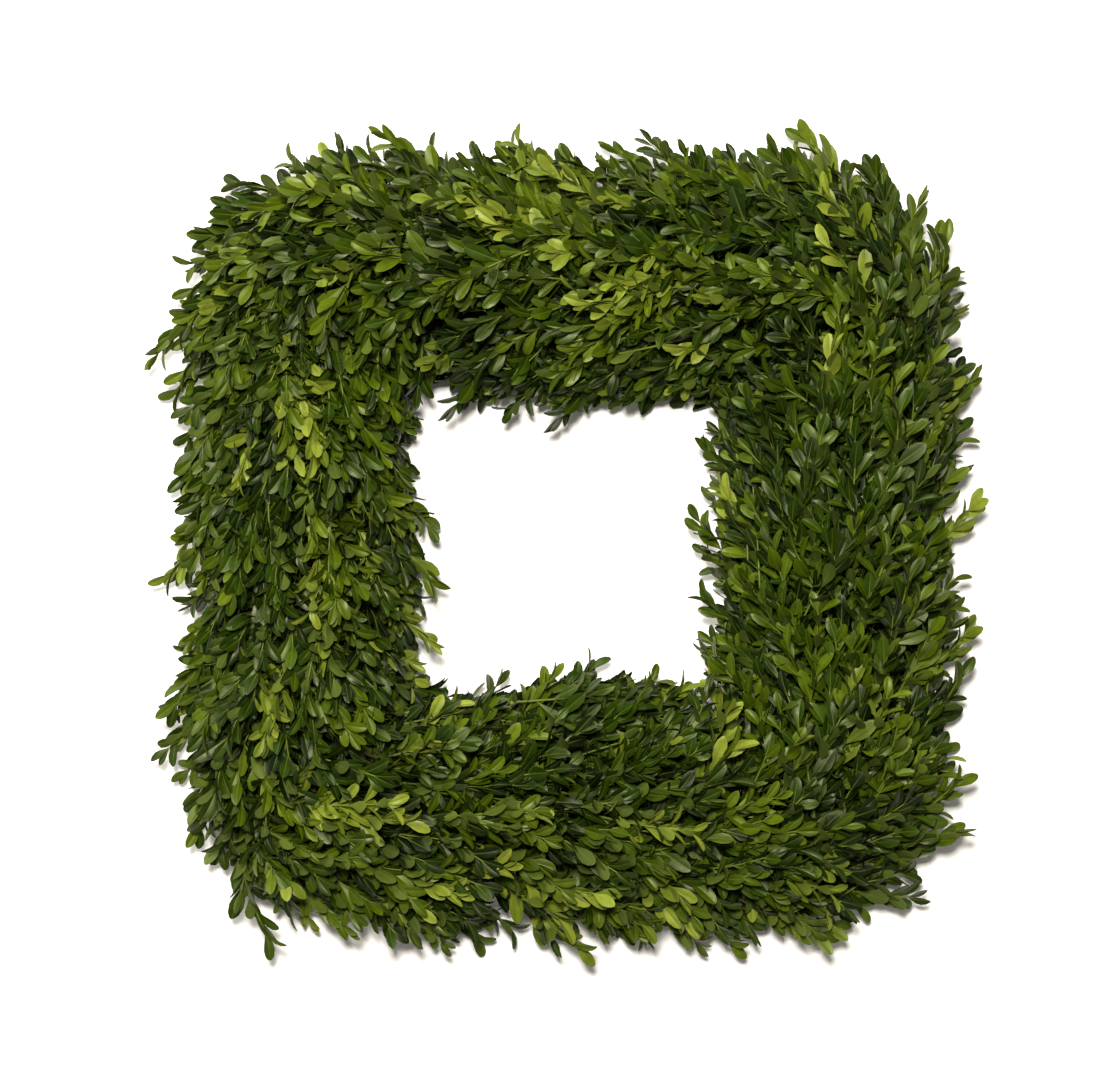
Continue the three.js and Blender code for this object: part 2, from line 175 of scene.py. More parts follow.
def grown_mesh(
    name: str, plan: bpy.types.Mesh, tree: bpy.types.NodeTree, values: dict[str, Any]
) -> bpy.types.Mesh:
    """Runs a Geometry Nodes tree once and keeps its result as a plain mesh.

    Args:
        name: The name of the result.
        plan: The mesh that the tree starts from. It is removed.
        tree: The Geometry Nodes tree.
        values: A value for each of its named inputs.

    Returns:
        The finished mesh. The object and its modifier are gone.
    """
    carrier = bpy.data.objects.new(name + "_plan", plan)
    bpy.context.scene.collection.objects.link(carrier)
    modifier = carrier.modifiers.new("grow", "NODES")
    modifier.node_group = tree
    sockets = {s.name: s.identifier for s in tree.interface.items_tree if s.in_out == "INPUT"}
    for label, value in values.items():
        modifier[sockets[label]] = value
    graph = bpy.context.evaluated_depsgraph_get()
    mesh = bpy.data.meshes.new_from_object(carrier.evaluated_get(graph), depsgraph=graph)
    mesh.name = name
    carrier.modifiers.remove(modifier)
    bpy.data.objects.remove(carrier)
    bpy.data.meshes.remove(plan)
    return mesh


def shown(mesh: bpy.types.Mesh) -> bpy.types.Object:
    """Puts a mesh into the scene at the origin, unturned and unscaled.

    Args:
        mesh: The mesh.

    Returns:
        The object, which has the mesh's name.
    """
    piece = bpy.data.objects.new(mesh.name, mesh)
    bpy.context.scene.collection.objects.link(piece)
    return piece


def stand_in(mesh: bpy.types.Mesh, node: str, helpers: Sequence[str]) -> int:
    """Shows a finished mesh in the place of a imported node.

    Args:
        mesh: The mesh.
        node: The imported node.
        helpers: The attributes that only its tree needed.

    Returns:
        The number of its triangles.
    """
    for label in helpers:
        if label in mesh.attributes:
            mesh.attributes.remove(mesh.attributes[label])
    piece = shown(mesh)
    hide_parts(node)
    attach(piece, "root")
    triangles = sum(len(face.vertices) - 2 for face in mesh.polygons)
    log.info("%s for %s: %d triangles", piece.name, node, triangles)
    return triangles


@dataclass(frozen=True)
class Strand:
    """A stem, twig or wire: the points it runs through and its radius at both ends, in millimetres."""

    points: list[Vector]
    first_radius: float
    last_radius: float
    is_closed: bool = False

    def edges(self, start: int) -> list[tuple[int, int]]:
        """Chains the points, of which the first has the number start."""
        count = len(self.points)
        return [(start + i, start + (i + 1) % count) for i in range(count if self.is_closed else count - 1)]

    def radii(self) -> list[float]:
        """Gives the radius at each point, which changes evenly from end to end."""
        change, last = self.last_radius - self.first_radius, len(self.points) - 1
        return [self.first_radius + change * i / last for i in range(last + 1)]


def plan_mesh(
    name: str, loose: Sequence[Vector], strands: Sequence[Strand], centre: Vector
) -> bpy.types.Mesh:
    """Makes the mesh that a tree starts from: loose points, then a chain of points for each strand.

    Args:
        name: The mesh's name.
        loose: The loose points, in millimetres.
        strands: The strands.
        centre: Where the ring's centre is, in metres.

    Returns:
        The mesh, which carries each point's radius as its width.
    """
    places, edges, widths = list(loose), [], [0.0] * len(loose)
    for strand in strands:
        edges += strand.edges(len(places))
        places += strand.points
        widths += strand.radii()
    mesh = bpy.data.meshes.new(name)
    mesh.from_pydata([Vector((p.x, p.y, max(p.z, LOWEST))) * MM + centre for p in places], edges, [])
    mesh.attributes.new("width", "FLOAT", "POINT").data.foreach_set("value", widths)
    return mesh


@dataclass(frozen=True)
class Ring:
    """The wreath's ring: two rounded squares round one centre, with a half-round section between them."""

    outer_half: float = 256.0
    outer_corner: float = 110.0
    inner_half: float = 88.0
    inner_corner: float = 16.0
    section_foot: float = 7.0
    section_rise: float = 79.0
    stations: int = 14
    measured_across: float = 0.35
    steps: int = 720
    tangent_step: float = 0.02

    @property
    def half_band(self) -> float:
        """Half the way from the hole's edge to the outer edge, along a side."""
        return (self.outer_half - self.inner_half) / 2.0

    def square_radius(self, angle: float, half: float, corner: float) -> float:
        """Gives the distance from the centre to a rounded square's edge.

        Args:
            angle: The direction, in radians.
            half: Half the square's side.
            corner: The radius of its corners.

        Returns:
            The distance in millimetres.
        """
        folded = abs(angle - (math.pi / 2) * round(angle / (math.pi / 2)))
        if half * math.tan(folded) <= half - corner:
            return half / math.cos(folded)
        centre = half - corner
        along = centre * (math.cos(folded) + math.sin(folded))
        return along + math.sqrt(max(0.0, along * along - 2 * centre * centre + corner * corner))

    def edges_at(self, angle: float) -> tuple[float, float]:
        """Gives the distances from the centre to the hole's edge and to the outer edge."""
        inner = self.square_radius(angle, self.inner_half, self.inner_corner)
        return inner, self.square_radius(angle, self.outer_half, self.outer_corner)

    def at_angle(self, angle: float, across: float, height: float) -> Vector:
        """Gives a point of the ring.

        Args:
            angle: Its direction from the centre, in radians.
            across: From -1 at the hole's edge to 1 at the outer edge.
            height: Its height over the floor, in millimetres.

        Returns:
            The point in millimetres.
        """
        inner, outer = self.edges_at(angle)
        radius = (inner + outer) / 2 + ((outer - inner) / 2) * across
        return Vector((radius * math.cos(angle), radius * math.sin(angle), height))

    @cached_property
    def lengths(self) -> list[float]:
        """The way round the ring at each step of its angle.

        Returns:
            The lengths in millimetres, from 0 to the whole way round.
        """
        found = [0.0]
        before = self.at_angle(0.0, self.measured_across, 0.0)
        for i in range(1, self.steps + 1):
            after = self.at_angle(i / self.steps * TURN, self.measured_across, 0.0)
            found.append(found[-1] + (after - before).length)
            before = after
        return found

    @property
    def station_length(self) -> float:
        """The way round the ring from one bunch to the next."""
        return self.lengths[-1] / self.stations

    def angle_at(self, place: float) -> float:
        """Turns a place on the ring to its angle.

        Args:
            place: The place, counted in stations.

        Returns:
            The angle in radians.
        """
        turns = math.floor(place / self.stations)
        wanted = (place - turns * self.stations) * self.station_length
        after = max(1, bisect_left(self.lengths, wanted))
        part = (wanted - self.lengths[after - 1]) / (self.lengths[after] - self.lengths[after - 1])
        return (turns + (after - 1 + part) / self.steps) * TURN

    def place_at(self, angle: float) -> float:
        """Turns an angle to its place on the ring.

        Args:
            angle: The angle in radians.

        Returns:
            The place, counted in stations.
        """
        turns = math.floor(angle / TURN)
        step = (angle / TURN - turns) * self.steps
        low = min(int(step), self.steps - 1)
        way = self.lengths[low] + (step - low) * (self.lengths[low + 1] - self.lengths[low])
        return turns * self.stations + way / self.station_length

    def in_foliage(self, place: float, bearing: float, depth: float) -> Vector:
        """Gives a point of the foliage.

        Args:
            place: The place on the ring, counted in stations.
            bearing: The direction in the section, in degrees: 0 outwards, 90 up, 180 inwards.
            depth: From 0 at the section's centre to 1 at the leaf tips.

        Returns:
            The point in millimetres.
        """
        turned = math.radians(bearing)
        height = self.section_foot + self.section_rise * depth * math.sin(turned)
        return self.at_angle(self.angle_at(place), depth * math.cos(turned), height)

    def beside_wire(self, place: float, outwards: float, height: float) -> Vector:
        """Gives a point near the raised wire, which runs along the middle of the ring."""
        return self.at_angle(self.angle_at(place), outwards / self.half_band, height)

    def within(self, point: Vector, margin: float) -> Vector:
        """Moves a point level until it lies a margin inside the ring's edges.

        Args:
            point: The point in millimetres.
            margin: How far inside the edges it has to lie, in millimetres.

        Returns:
            The moved point.
        """
        inner, outer = self.edges_at(math.atan2(point.y, point.x))
        radius = math.hypot(point.x, point.y)
        share = min(outer - margin, max(inner + margin, radius)) / radius
        return Vector((point.x * share, point.y * share, point.z))

    def directions(self, place: float, across: float) -> tuple[Vector, Vector]:
        """Gives the ways that the foliage is laid out by.

        Args:
            place: The place on the ring, counted in stations.
            across: From -1 at the hole's edge to 1 at the outer edge.

        Returns:
            The way that the leaves run there, and the level way out of the ring.
        """
        angle = self.angle_at(place)
        after = self.at_angle(angle + self.tangent_step, across, 0.0)
        before = self.at_angle(angle - self.tangent_step, across, 0.0)
        flow = (after - before).normalized()
        return flow, flow.cross(UP).normalized()


@dataclass(frozen=True)
class LeafFinish:
    """Living boxwood leaf: a thick, waxed blade, glossy above and paler and dull below.

    Sizes are in millimetres. Ranges along the leaf go from 0 at its stalk to 1 at its tip, and half widths
    from 0 at the midrib to 0.5 at the rim.
    """

    # The darkest colour is that of old leaves, and also painted shade for the sprigs under the surface.
    oldest_and_painted_shade: str = "#081604"
    ripe: str = "#233502"
    young: str = "#445406"
    newest: str = "#6D7825"
    underside: str = "#4A5720"
    midrib: str = "#646E26"
    sheen: str = "#DCE3B4"
    ripe_at: float = 0.36
    young_at: float = 0.68
    leaf_variation: float = 0.34
    blotch: float = 9.0
    patch_range: tuple[float, float] = (0.3, 0.7)
    patch_values: tuple[float, float] = (0.78, 1.2)
    midrib_half_widths: tuple[float, float] = (0.015, 0.06)
    midrib_strength: float = 0.55
    midrib_fade: tuple[float, float] = (0.2, 0.95)
    midrib_left_at_tip: float = 0.2
    stalk_fade: tuple[float, float] = (0.02, 0.24)
    stalk_strength: float = 0.6
    underside_strength: float = 0.55
    roughness_above: float = 0.38
    roughness_patches: tuple[float, float] = (-0.06, 0.1)
    roughness_below: float = 0.62
    specular: float = 0.32
    leaf_length: float = 24.5
    vein_spacing: float = 1.6
    vein_slant: float = -0.55
    vein_share: float = 0.35
    vein_relief: float = 0.15
    vein_strength: float = 0.18
    pucker: float = 0.9
    dome: float = 0.18

    def material(self) -> bpy.types.Material:
        """Builds the leaf material from the leaf's own map and its shades.

        The wax gives the eye a soft, broken sheen on deep green, and the thick blade a pale midrib.

        Returns:
            The material.
        """
        material, tree, shader = new_material("waxed_boxwood_leaf")
        add = partial(add_node, tree)
        sprig, leaf, below = (
            add("ShaderNodeAttribute", attribute_name=label).outputs["Fac"]
            for label in ("sprig_tint", "leaf_tint", "underside")
        )
        flat = add("ShaderNodeUVMap", uv_map="leaf_map")
        across, along, _ = add("ShaderNodeSeparateXYZ", {0: flat}).outputs
        place = add("ShaderNodeTexCoord").outputs["Object"]

        # Sprigs cut from old wood are nearly black-green and new growth is yellow-green. The sprigs under the
        # surface are darkened towards the same black-green, which is painted shade in the gaps. Within a
        # sprig the leaves differ a little.
        varied = {0: leaf, 1: self.leaf_variation, 2: -self.leaf_variation / 2}
        shade = add("ShaderNodeMath", varied, operation="MULTIPLY_ADD")
        shade = add("ShaderNodeMath", {0: sprig, 1: shade}, operation="ADD", use_clamp=True)
        ramp = add("ShaderNodeValToRGB", {"Fac": shade})
        stops = ramp.color_ramp.elements
        stops[0].color, stops[1].color = linear(self.oldest_and_painted_shade), linear(self.newest)
        stops.new(self.ripe_at).color = linear(self.ripe)
        stops.new(self.young_at).color = linear(self.young)

        blotch_scale = {"Scale": 1 / (self.blotch * MM), "Detail": 3.0, "Roughness": 0.6}
        blotches = add("ShaderNodeTexNoise", {"Vector": place, **blotch_scale})
        patchy = {"Value": blotches, "From Min": self.patch_range[0], "From Max": self.patch_range[1]}
        values = {"To Min": self.patch_values[0], "To Max": self.patch_values[1]}
        mottled = add("ShaderNodeMapRange", {**patchy, **values})
        toned = add("ShaderNodeHueSaturation", {"Color": ramp, "Value": mottled})

        # The midrib is a fine pale line that fades towards the tip, and the stalk end is paler too.
        off_middle = add("ShaderNodeMath", {0: across, 1: 0.5}, operation="SUBTRACT")
        off_middle = add("ShaderNodeMath", {0: off_middle}, operation="ABSOLUTE")
        rib, fading, stalk = (
            add(
                "ShaderNodeMapRange",
                {"Value": value, "From Min": start, "From Max": end, "To Min": first, "To Max": last},
            )
            for value, (start, end), first, last in (
                (off_middle, self.midrib_half_widths, self.midrib_strength, 0.0),
                (along, self.midrib_fade, 1.0, self.midrib_left_at_tip),
                (along, self.stalk_fade, self.stalk_strength, 0.0),
            )
        )
        rib = add("ShaderNodeMath", {0: rib, 1: fading}, operation="MULTIPLY")
        pale = add("ShaderNodeMath", {0: rib, 1: stalk}, operation="MAXIMUM")
        paler = add("ShaderNodeMath", {0: below, 1: self.underside_strength}, operation="MULTIPLY")
        coloured = toned
        for share, colour in ((pale, self.midrib), (paler, self.underside)):
            coloured = add(
                "ShaderNodeMix",
                {"Factor_Float": share, "A_Color": coloured, "B_Color": linear(colour)},
                data_type="RGBA",
            )

        # The wax is thinner in places, so the sheen breaks up, and the underside has none.
        glossiest, dullest = (self.roughness_above + part for part in self.roughness_patches)
        waxed = add("ShaderNodeMapRange", {**patchy, "To Min": glossiest, "To Max": dullest})
        both_sides = {"Factor_Float": below, "A_Float": waxed, "B_Float": self.roughness_below}
        dulled = add("ShaderNodeMix", both_sides, data_type="FLOAT")

        # Side veins run from the midrib towards the tip, and the blade is finely puckered between them.
        slant = {0: off_middle, 1: self.vein_slant, 2: along}
        slanted = add("ShaderNodeMath", slant, operation="MULTIPLY_ADD")
        vein_count = self.leaf_length / self.vein_spacing
        veins = add("ShaderNodeMath", {0: slanted, 1: TURN * vein_count}, operation="MULTIPLY")
        veins = add("ShaderNodeMath", {0: veins}, operation="SINE")
        puckers = add("ShaderNodeTexNoise", {"Vector": place, "Scale": 1 / (self.pucker * MM), "Detail": 2.0})
        relief = add("ShaderNodeMath", {0: veins, 1: self.vein_share, 2: puckers}, operation="MULTIPLY_ADD")

        # Each half of the blade swells a little between midrib and rim, which shades it softly.
        domed = add("ShaderNodeMath", {0: off_middle, 1: TURN}, operation="MULTIPLY")
        domed = add("ShaderNodeMath", {0: domed}, operation="SINE")
        swollen = add("ShaderNodeBump", {"Height": domed, "Strength": 1.0, "Distance": self.dome * MM})
        veined = {"Height": relief, "Strength": self.vein_strength, "Distance": self.vein_relief * MM}
        bump = add("ShaderNodeBump", {**veined, "Normal": swollen})
        feed(tree, shader, {"Base Color": coloured, "Roughness": dulled, "Normal": bump})
        feed(tree, shader, {"Specular IOR Level": self.specular, "Specular Tint": linear(self.sheen)})
        return material


@dataclass(frozen=True)
class TwigFinish:
    """Boxwood twig: square young shoots, yellow-green, which turn to thin grey-brown bark.

    Its grain and relief are in millimetres.
    """

    shoot: str = "#58681F"
    bark: str = "#3C351A"
    bark_dark: str = "#221F10"
    bark_grain: float = 3.0
    grain_in_age: float = 0.4
    bark_ages: tuple[float, float] = (0.75, 1.15)
    bark_relief: float = 0.3
    relief_strength: float = 0.5
    roughness: float = 0.62
    specular: float = 0.25

    def material(self) -> bpy.types.Material:
        """Builds the twig material, from shoot to bark by the age that the stems carry.

        The eye gets dull green shoots that turn to matt, finely cracked bark where the wood is old.

        Returns:
            The material.
        """
        material, tree, shader = new_material("boxwood_twig")
        add = partial(add_node, tree)
        age = add("ShaderNodeAttribute", attribute_name="stem_age").outputs["Fac"]
        place = add("ShaderNodeTexCoord").outputs["Object"]
        grain_scale = {"Scale": 1 / (self.bark_grain * MM), "Detail": 4.0, "Roughness": 0.65}
        grain = add("ShaderNodeTexNoise", {"Vector": place, **grain_scale})
        bark = {"A_Color": linear(self.bark_dark), "B_Color": linear(self.bark)}
        barked = add("ShaderNodeMix", {"Factor_Float": grain, **bark}, data_type="RGBA")
        aged = add("ShaderNodeMath", {0: grain, 1: self.grain_in_age, 2: age}, operation="MULTIPLY_ADD")
        young, old = self.bark_ages
        turned = add("ShaderNodeMapRange", {"Value": aged, "From Min": young, "From Max": old})
        coloured = add(
            "ShaderNodeMix",
            {"Factor_Float": turned, "A_Color": linear(self.shoot), "B_Color": barked},
            data_type="RGBA",
        )
        cracked = {"Height": grain, "Strength": self.relief_strength, "Distance": self.bark_relief * MM}
        bump = add("ShaderNodeBump", cracked)
        feed(tree, shader, {"Base Color": coloured, "Normal": bump})
        feed(tree, shader, {"Roughness": self.roughness, "Specular IOR Level": self.specular})
        return material


@dataclass(frozen=True)
class WireFinish:
    """Dip-coated steel wire: a thin, slightly runny coat of green enamel, with scuffs.

    The runs' length and relief are in millimetres.
    """

    name: str
    coat: str
    scuffed: str
    roughness: float
    run_length: float
    run_relief: float = 0.2
    relief_strength: float = 0.3
    scuff_range: tuple[float, float] = (0.58, 0.72)
    scuff_strength: float = 0.8
    scuff_roughness: float = 0.25

    def material(self) -> bpy.types.Material:
        """Builds the wire's material.

        The eye gets a dark green, half-glossy line of light along the wire, broken by dull paler scuffs.

        Returns:
            The material.
        """
        material, tree, shader = new_material(self.name)
        add = partial(add_node, tree)
        place = add("ShaderNodeTexCoord").outputs["Object"]
        run_scale = {"Scale": 1 / (self.run_length * MM), "Detail": 4.0, "Roughness": 0.7}
        runs = add("ShaderNodeTexNoise", {"Vector": place, **run_scale})
        whole, worn = self.scuff_range
        wear = {"Value": runs, "From Min": whole, "From Max": worn, "To Max": self.scuff_strength}
        scuffs = add("ShaderNodeMapRange", wear)
        coats = {"A_Color": linear(self.coat), "B_Color": linear(self.scuffed)}
        coloured = add("ShaderNodeMix", {"Factor_Float": scuffs, **coats}, data_type="RGBA")
        dull = {"To Min": self.roughness, "To Max": self.roughness + self.scuff_roughness}
        dulled = add("ShaderNodeMapRange", {"Value": scuffs, **dull})
        runny = {"Height": runs, "Strength": self.relief_strength, "Distance": self.run_relief * MM}
        bump = add("ShaderNodeBump", runny)
        feed(tree, shader, {"Base Color": coloured, "Roughness": dulled, "Normal": bump})
        return material


class LeafPose(Enum):
    """How a boxwood leaf is bent: fold of its halves, bend along its length and twist, in degrees."""

    FLAT = (8.0, -12.0, 4.0)
    CUPPED = (26.0, 28.0, -8.0)
    RECURVED = (12.0, -46.0, 8.0)
    TWISTED = (16.0, -18.0, 44.0)
    HOLLOW = (20.0, -26.0, -28.0)


@dataclass(frozen=True)
class BoxwoodLeaf:
    """One boxwood leaf on its short stalk: broadest past the middle and blunt at the tip.

    Its outlines give the width at each part of the length, both as shares of the whole.
    """

    length: float = 24.5
    width: float = 9.5
    thickness: float = 0.5
    outline: tuple[tuple[float, float], ...] = (
        (0.08, 0.1), (0.24, 0.4), (0.45, 0.85), (0.63, 1.0), (0.84, 0.77), (0.96, 0.37)
    )
    plain_outline: tuple[tuple[float, float], ...] = ((0.12, 0.14), (0.6, 1.0), (0.9, 0.6))

    def point(self, along: float, across: float, lift: float, pose: LeafPose) -> Vector:
        """Bends a point of the flat leaf.

        Args:
            along: From 0 at the stalk's foot to 1 at the tip.
            across: From -1 at one rim of the leaf's broadest part to 1 at the other.
            lift: The height over the blade's middle sheet, in millimetres.
            pose: How the leaf is bent.

        Returns:
            The point in metres. The leaf grows along Y and faces Z.
        """
        fold, bend, twist = (math.radians(value) for value in pose.value)
        x = across * self.width / 2
        z = lift + abs(x) * math.sin(fold)
        x *= math.cos(fold)
        turned = twist * along
        x, z = x * math.cos(turned) - z * math.sin(turned), x * math.sin(turned) + z * math.cos(turned)
        radius = self.length / bend
        around = along * bend
        y = radius * math.sin(around) - z * math.sin(around)
        return Vector((x, y, radius * (1 - math.cos(around)) + z * math.cos(around))) * MM

    def mesh(self, pose: LeafPose, is_plain: bool) -> bpy.types.Mesh:
        """Builds the closed leaf.

        Args:
            pose: How the leaf is bent.
            is_plain: Whether it is one of the covered leaves, which have fewer faces.

        Returns:
            The mesh, with its leaf map and the attributes that its material reads.
        """
        points = [self.point(0.0, 0.0, 0.0, pose)]
        flat = [(0.5, 0.0)]
        outline = self.plain_outline if is_plain else self.outline
        for along, wide in outline:
            half = self.thickness / 2 * (0.5 + 0.5 * wide)  # thickest where it is broadest
            for across, lift in ((-wide, 0.0), (0.0, half), (wide, 0.0), (0.0, -half)):
                points.append(self.point(along, across, lift, pose))
                flat.append((0.5 + across / 2, along))
        points.append(self.point(1.0, 0.0, 0.0, pose))
        flat.append((0.5, 1.0))
        last = len(points) - 1
        rows = [[1 + 4 * i + k for k in range(4)] for i in range(len(outline))]
        above = [(0, rows[0][1], rows[0][0]), (0, rows[0][2], rows[0][1])]
        under = [(0, rows[0][0], rows[0][3]), (0, rows[0][3], rows[0][2])]
        for (a0, a1, a2, a3), (b0, b1, b2, b3) in zip(rows, rows[1:]):
            above += [(a0, a1, b1, b0), (a1, a2, b2, b1)]
            under += [(a3, a0, b0, b3), (a2, a3, b3, b2)]
        e0, e1, e2, e3 = rows[-1]
        above += [(e0, e1, last), (e1, e2, last)]
        under += [(e3, e0, last), (e2, e3, last)]
        mesh = bpy.data.meshes.new(("plain_leaf_" if is_plain else "full_leaf_") + pose.name.lower())
        mesh.from_pydata(points, [], above + under)
        mesh.shade_smooth()

        # The rim and the midrib stay crisp.
        rim = {0, last} | {row[k] for row in rows for k in (0, 2)}
        crease = {row[1] for row in rows}
        for edge in mesh.edges:
            if set(edge.vertices) <= rim or set(edge.vertices) <= crease:
                edge.use_edge_sharp = True
        leaf_map = mesh.uv_layers.new(name="leaf_map")
        for loop in mesh.loops:
            leaf_map.data[loop.index].uv = flat[loop.vertex_index]
        below = [0.0] * len(above) + [1.0] * len(under)
        mesh.attributes.new("underside", "FLOAT", "FACE").data.foreach_set("value", below)
        mesh.attributes.new("leafy", "FLOAT", "POINT").data.foreach_set("value", [1.0] * len(points))
        return mesh


@dataclass(frozen=True)
class SprigKind:
    """The sizes of one kind of sprig, in millimetres and degrees, and how far along its leaves are plain."""

    length: float
    arch: float
    sway: float
    pairs: int
    first_leaf: float
    base_splay: float
    tip_splay: float
    least_facing: float
    most_facing: float
    plain_part: float = 0.3

    @property
    def is_inner(self) -> bool:
        """Whether it is a sprig for the inside, with plain leaves all along."""
        return self.plain_part > 1.0


@dataclass
class SprigWork:
    """Boxwood sprigs: pairs of leaves, each pair a quarter turn round from the last, on a tapered shoot."""

    leaf: BoxwoodLeaf = BoxwoodLeaf()
    stem_radius: float = 0.85
    stem_sides: int = 4
    stem_taper: float = 0.55
    foot_age: float = 0.7
    shoot_steps: int = 8
    last_leaf: float = 0.985
    loose_turn: float = 0.35
    loose_splay: float = 13.0
    leaf_sizes: tuple[float, float] = (0.8, 1.12)
    tip_shrink: float = 0.26
    first_seed: int = 3
    seed_step: int = 10
    kinds: tuple[SprigKind, ...] = (
        SprigKind(86, 7, 3, 9, 0.22, 38, 20, 0.0, 0.8),
        SprigKind(94, 9, -5, 10, 0.24, 36, 18, -0.1, 0.75),
        SprigKind(78, 5, 6, 8, 0.2, 42, 22, 0.1, 0.9),
        SprigKind(90, -5, -2, 9, 0.22, 34, 16, -0.1, 0.7),
        SprigKind(82, 10, 1, 9, 0.22, 44, 24, 0.0, 0.75),
        SprigKind(98, 8, 8, 10, 0.25, 32, 18, 0.0, 0.85),
        SprigKind(80, 8, 4, 7, 0.16, 44, 26, 0.2, 0.9, 2.0),
        SprigKind(90, -4, -6, 8, 0.16, 46, 28, 0.1, 0.9, 2.0),
    )
    collection: bpy.types.Collection = field(init=False)
    leaves: bpy.types.Collection = field(init=False)

    def pick(self, chance: random.Random, is_inner: bool) -> int:
        """Draws a kind of sprig for the surface or for the inside."""
        return chance.choice([i for i, kind in enumerate(self.kinds) if kind.is_inner == is_inner])

    def tree(self) -> bpy.types.NodeTree:
        """Builds the tree that grows one sprig along Y, with its leaves turned towards Z.

        Returns:
            The Geometry Nodes tree.
        """
        shoot_inputs = ("Length", "Arch", "Sway", "Stem Radius", "First Leaf", "Plain Part")
        leaf_inputs = ("Base Splay", "Tip Splay", "Least Facing", "Most Facing")
        tree, use = new_tree(
            "boxwood_sprig",
            Float=shoot_inputs + leaf_inputs,
            Int=("Pairs", "Shape Count", "Seed"),
            Collection=("Leaf Shapes",),
        )
        add = partial(add_node, tree)
        half = add("ShaderNodeMath", {0: use["Length"], 1: 0.5}, operation="MULTIPLY")
        middle = add("ShaderNodeCombineXYZ", {"X": use["Sway"], "Y": half, "Z": use["Arch"]})
        end = add("ShaderNodeCombineXYZ", {"Y": use["Length"]})
        ends = {"Start": (0.0, 0.0, 0.0), "Middle": middle, "End": end}
        shoot = add("GeometryNodeCurveQuadraticBezier", {"Resolution": self.shoot_steps, **ends})

        # The shoot tapers to its tip, where it is youngest.
        factor = add("GeometryNodeSplineParameter")
        age = add("ShaderNodeMath", {0: self.foot_age, 1: factor}, operation="SUBTRACT")
        aged = add(
            "GeometryNodeStoreNamedAttribute",
            {"Geometry": shoot, "Name": "stem_age", "Value": age},
            data_type="FLOAT",
            domain="POINT",
        )
        taper = add("ShaderNodeMapRange", {"Value": factor, "To Min": 1.0, "To Max": self.stem_taper})
        section_sizes = {"Resolution": self.stem_sides, "Radius": use["Stem Radius"]}
        section = add("GeometryNodeCurvePrimitiveCircle", section_sizes, mode="RADIUS")
        drawn = {"Curve": aged, "Profile Curve": section, "Scale": taper, "Fill Caps": True}
        stem = add("GeometryNodeCurveToMesh", drawn)

        # One point a pair, then each doubled: a pair turns a quarter from the last, its leaves are opposite.
        trimmed = {"Curve": shoot, "Start": use["First Leaf"], "End": self.last_leaf}
        leafy_part = add("GeometryNodeTrimCurve", trimmed, mode="FACTOR")
        nodes = add("GeometryNodeCurveToPoints", {"Curve": leafy_part, "Count": use["Pairs"]}, mode="COUNT")
        held = add("GeometryNodeCaptureAttribute", domain="POINT")
        held.capture_items.new("INT", "Pair")
        feed(tree, held, {"Geometry": nodes, "Pair": add("GeometryNodeInputIndex")})
        pair = held.outputs["Pair"]
        doubled = add("GeometryNodeDuplicateElements", {"Geometry": held, "Amount": 2}, domain="POINT")
        last = add("ShaderNodeMath", {0: use["Pairs"], 1: 1.0}, operation="SUBTRACT")
        along = add("ShaderNodeMath", {0: pair, 1: last}, operation="DIVIDE")

        seeds = [add("ShaderNodeMath", {0: use["Seed"], 1: float(i)}, operation="ADD") for i in range(6)]
        loose, waver, twisted, grown, shade = (
            add("FunctionNodeRandomValue", {"Min_001": low, "Max_001": high, "Seed": seed}, data_type="FLOAT")
            for seed, low, high in (
                (seeds[0], -self.loose_turn, self.loose_turn),
                (seeds[1], -self.loose_splay, self.loose_splay),
                (seeds[2], use["Least Facing"], use["Most Facing"]),
                (seeds[3], *self.leaf_sizes),
                (seeds[5], 0.0, 1.0),
            )
        )
        quarter = add("ShaderNodeMath", {0: pair, 1: TURN / 4}, operation="MULTIPLY")
        opposite = {0: doubled.outputs["Duplicate Index"], 1: TURN / 2, 2: quarter}
        around = add("ShaderNodeMath", opposite, operation="MULTIPLY_ADD")
        around = add("ShaderNodeMath", {0: around, 1: loose}, operation="ADD")
        cosine, sine = (add("ShaderNodeMath", {0: around}, operation=name) for name in ("COSINE", "SINE"))
        sideways = add("ShaderNodeCombineXYZ", {"X": cosine, "Z": sine})

        splays = {"To Min": use["Base Splay"], "To Max": use["Tip Splay"]}
        splay = add("ShaderNodeMapRange", {"Value": along, **splays})
        splay = add("ShaderNodeMath", {0: splay, 1: waver}, operation="ADD")
        splay = add("ShaderNodeMath", {0: splay}, operation="RADIANS")
        much, little = (add("ShaderNodeMath", {0: splay}, operation=name) for name in ("COSINE", "SINE"))

        # A leaf's upper face looks at the shoot's tip, and its stalk twists it part of the way to the light.
        tangent = nodes.outputs["Tangent"]
        onward, outward, ahead, back = (
            add("ShaderNodeVectorMath", {0: way, "Scale": share}, operation="SCALE")
            for way, share in ((tangent, much), (sideways, little), (tangent, little), (sideways, much))
        )
        axis = add("ShaderNodeVectorMath", {0: onward, 1: outward}, operation="ADD")
        untwisted = add("ShaderNodeVectorMath", {0: ahead, 1: back}, operation="SUBTRACT")
        to_light = {"Factor_Float": twisted, "A_Vector": untwisted, "B_Vector": tuple(UP)}
        facing = add("ShaderNodeMix", to_light, data_type="VECTOR")
        axes = {"Primary Axis": axis, "Secondary Axis": facing}
        turn = add("FunctionNodeAxesToRotation", axes, primary_axis="Y", secondary_axis="Z")

        # The youngest leaves, at the tip, are the smallest.
        squared = add("ShaderNodeMath", {0: along, 1: 2.0}, operation="POWER")
        shrunk = add("ShaderNodeMath", {0: squared, 1: -self.tip_shrink, 2: 1.0}, operation="MULTIPLY_ADD")
        size = add("ShaderNodeMath", {0: shrunk, 1: grown}, operation="MULTIPLY")

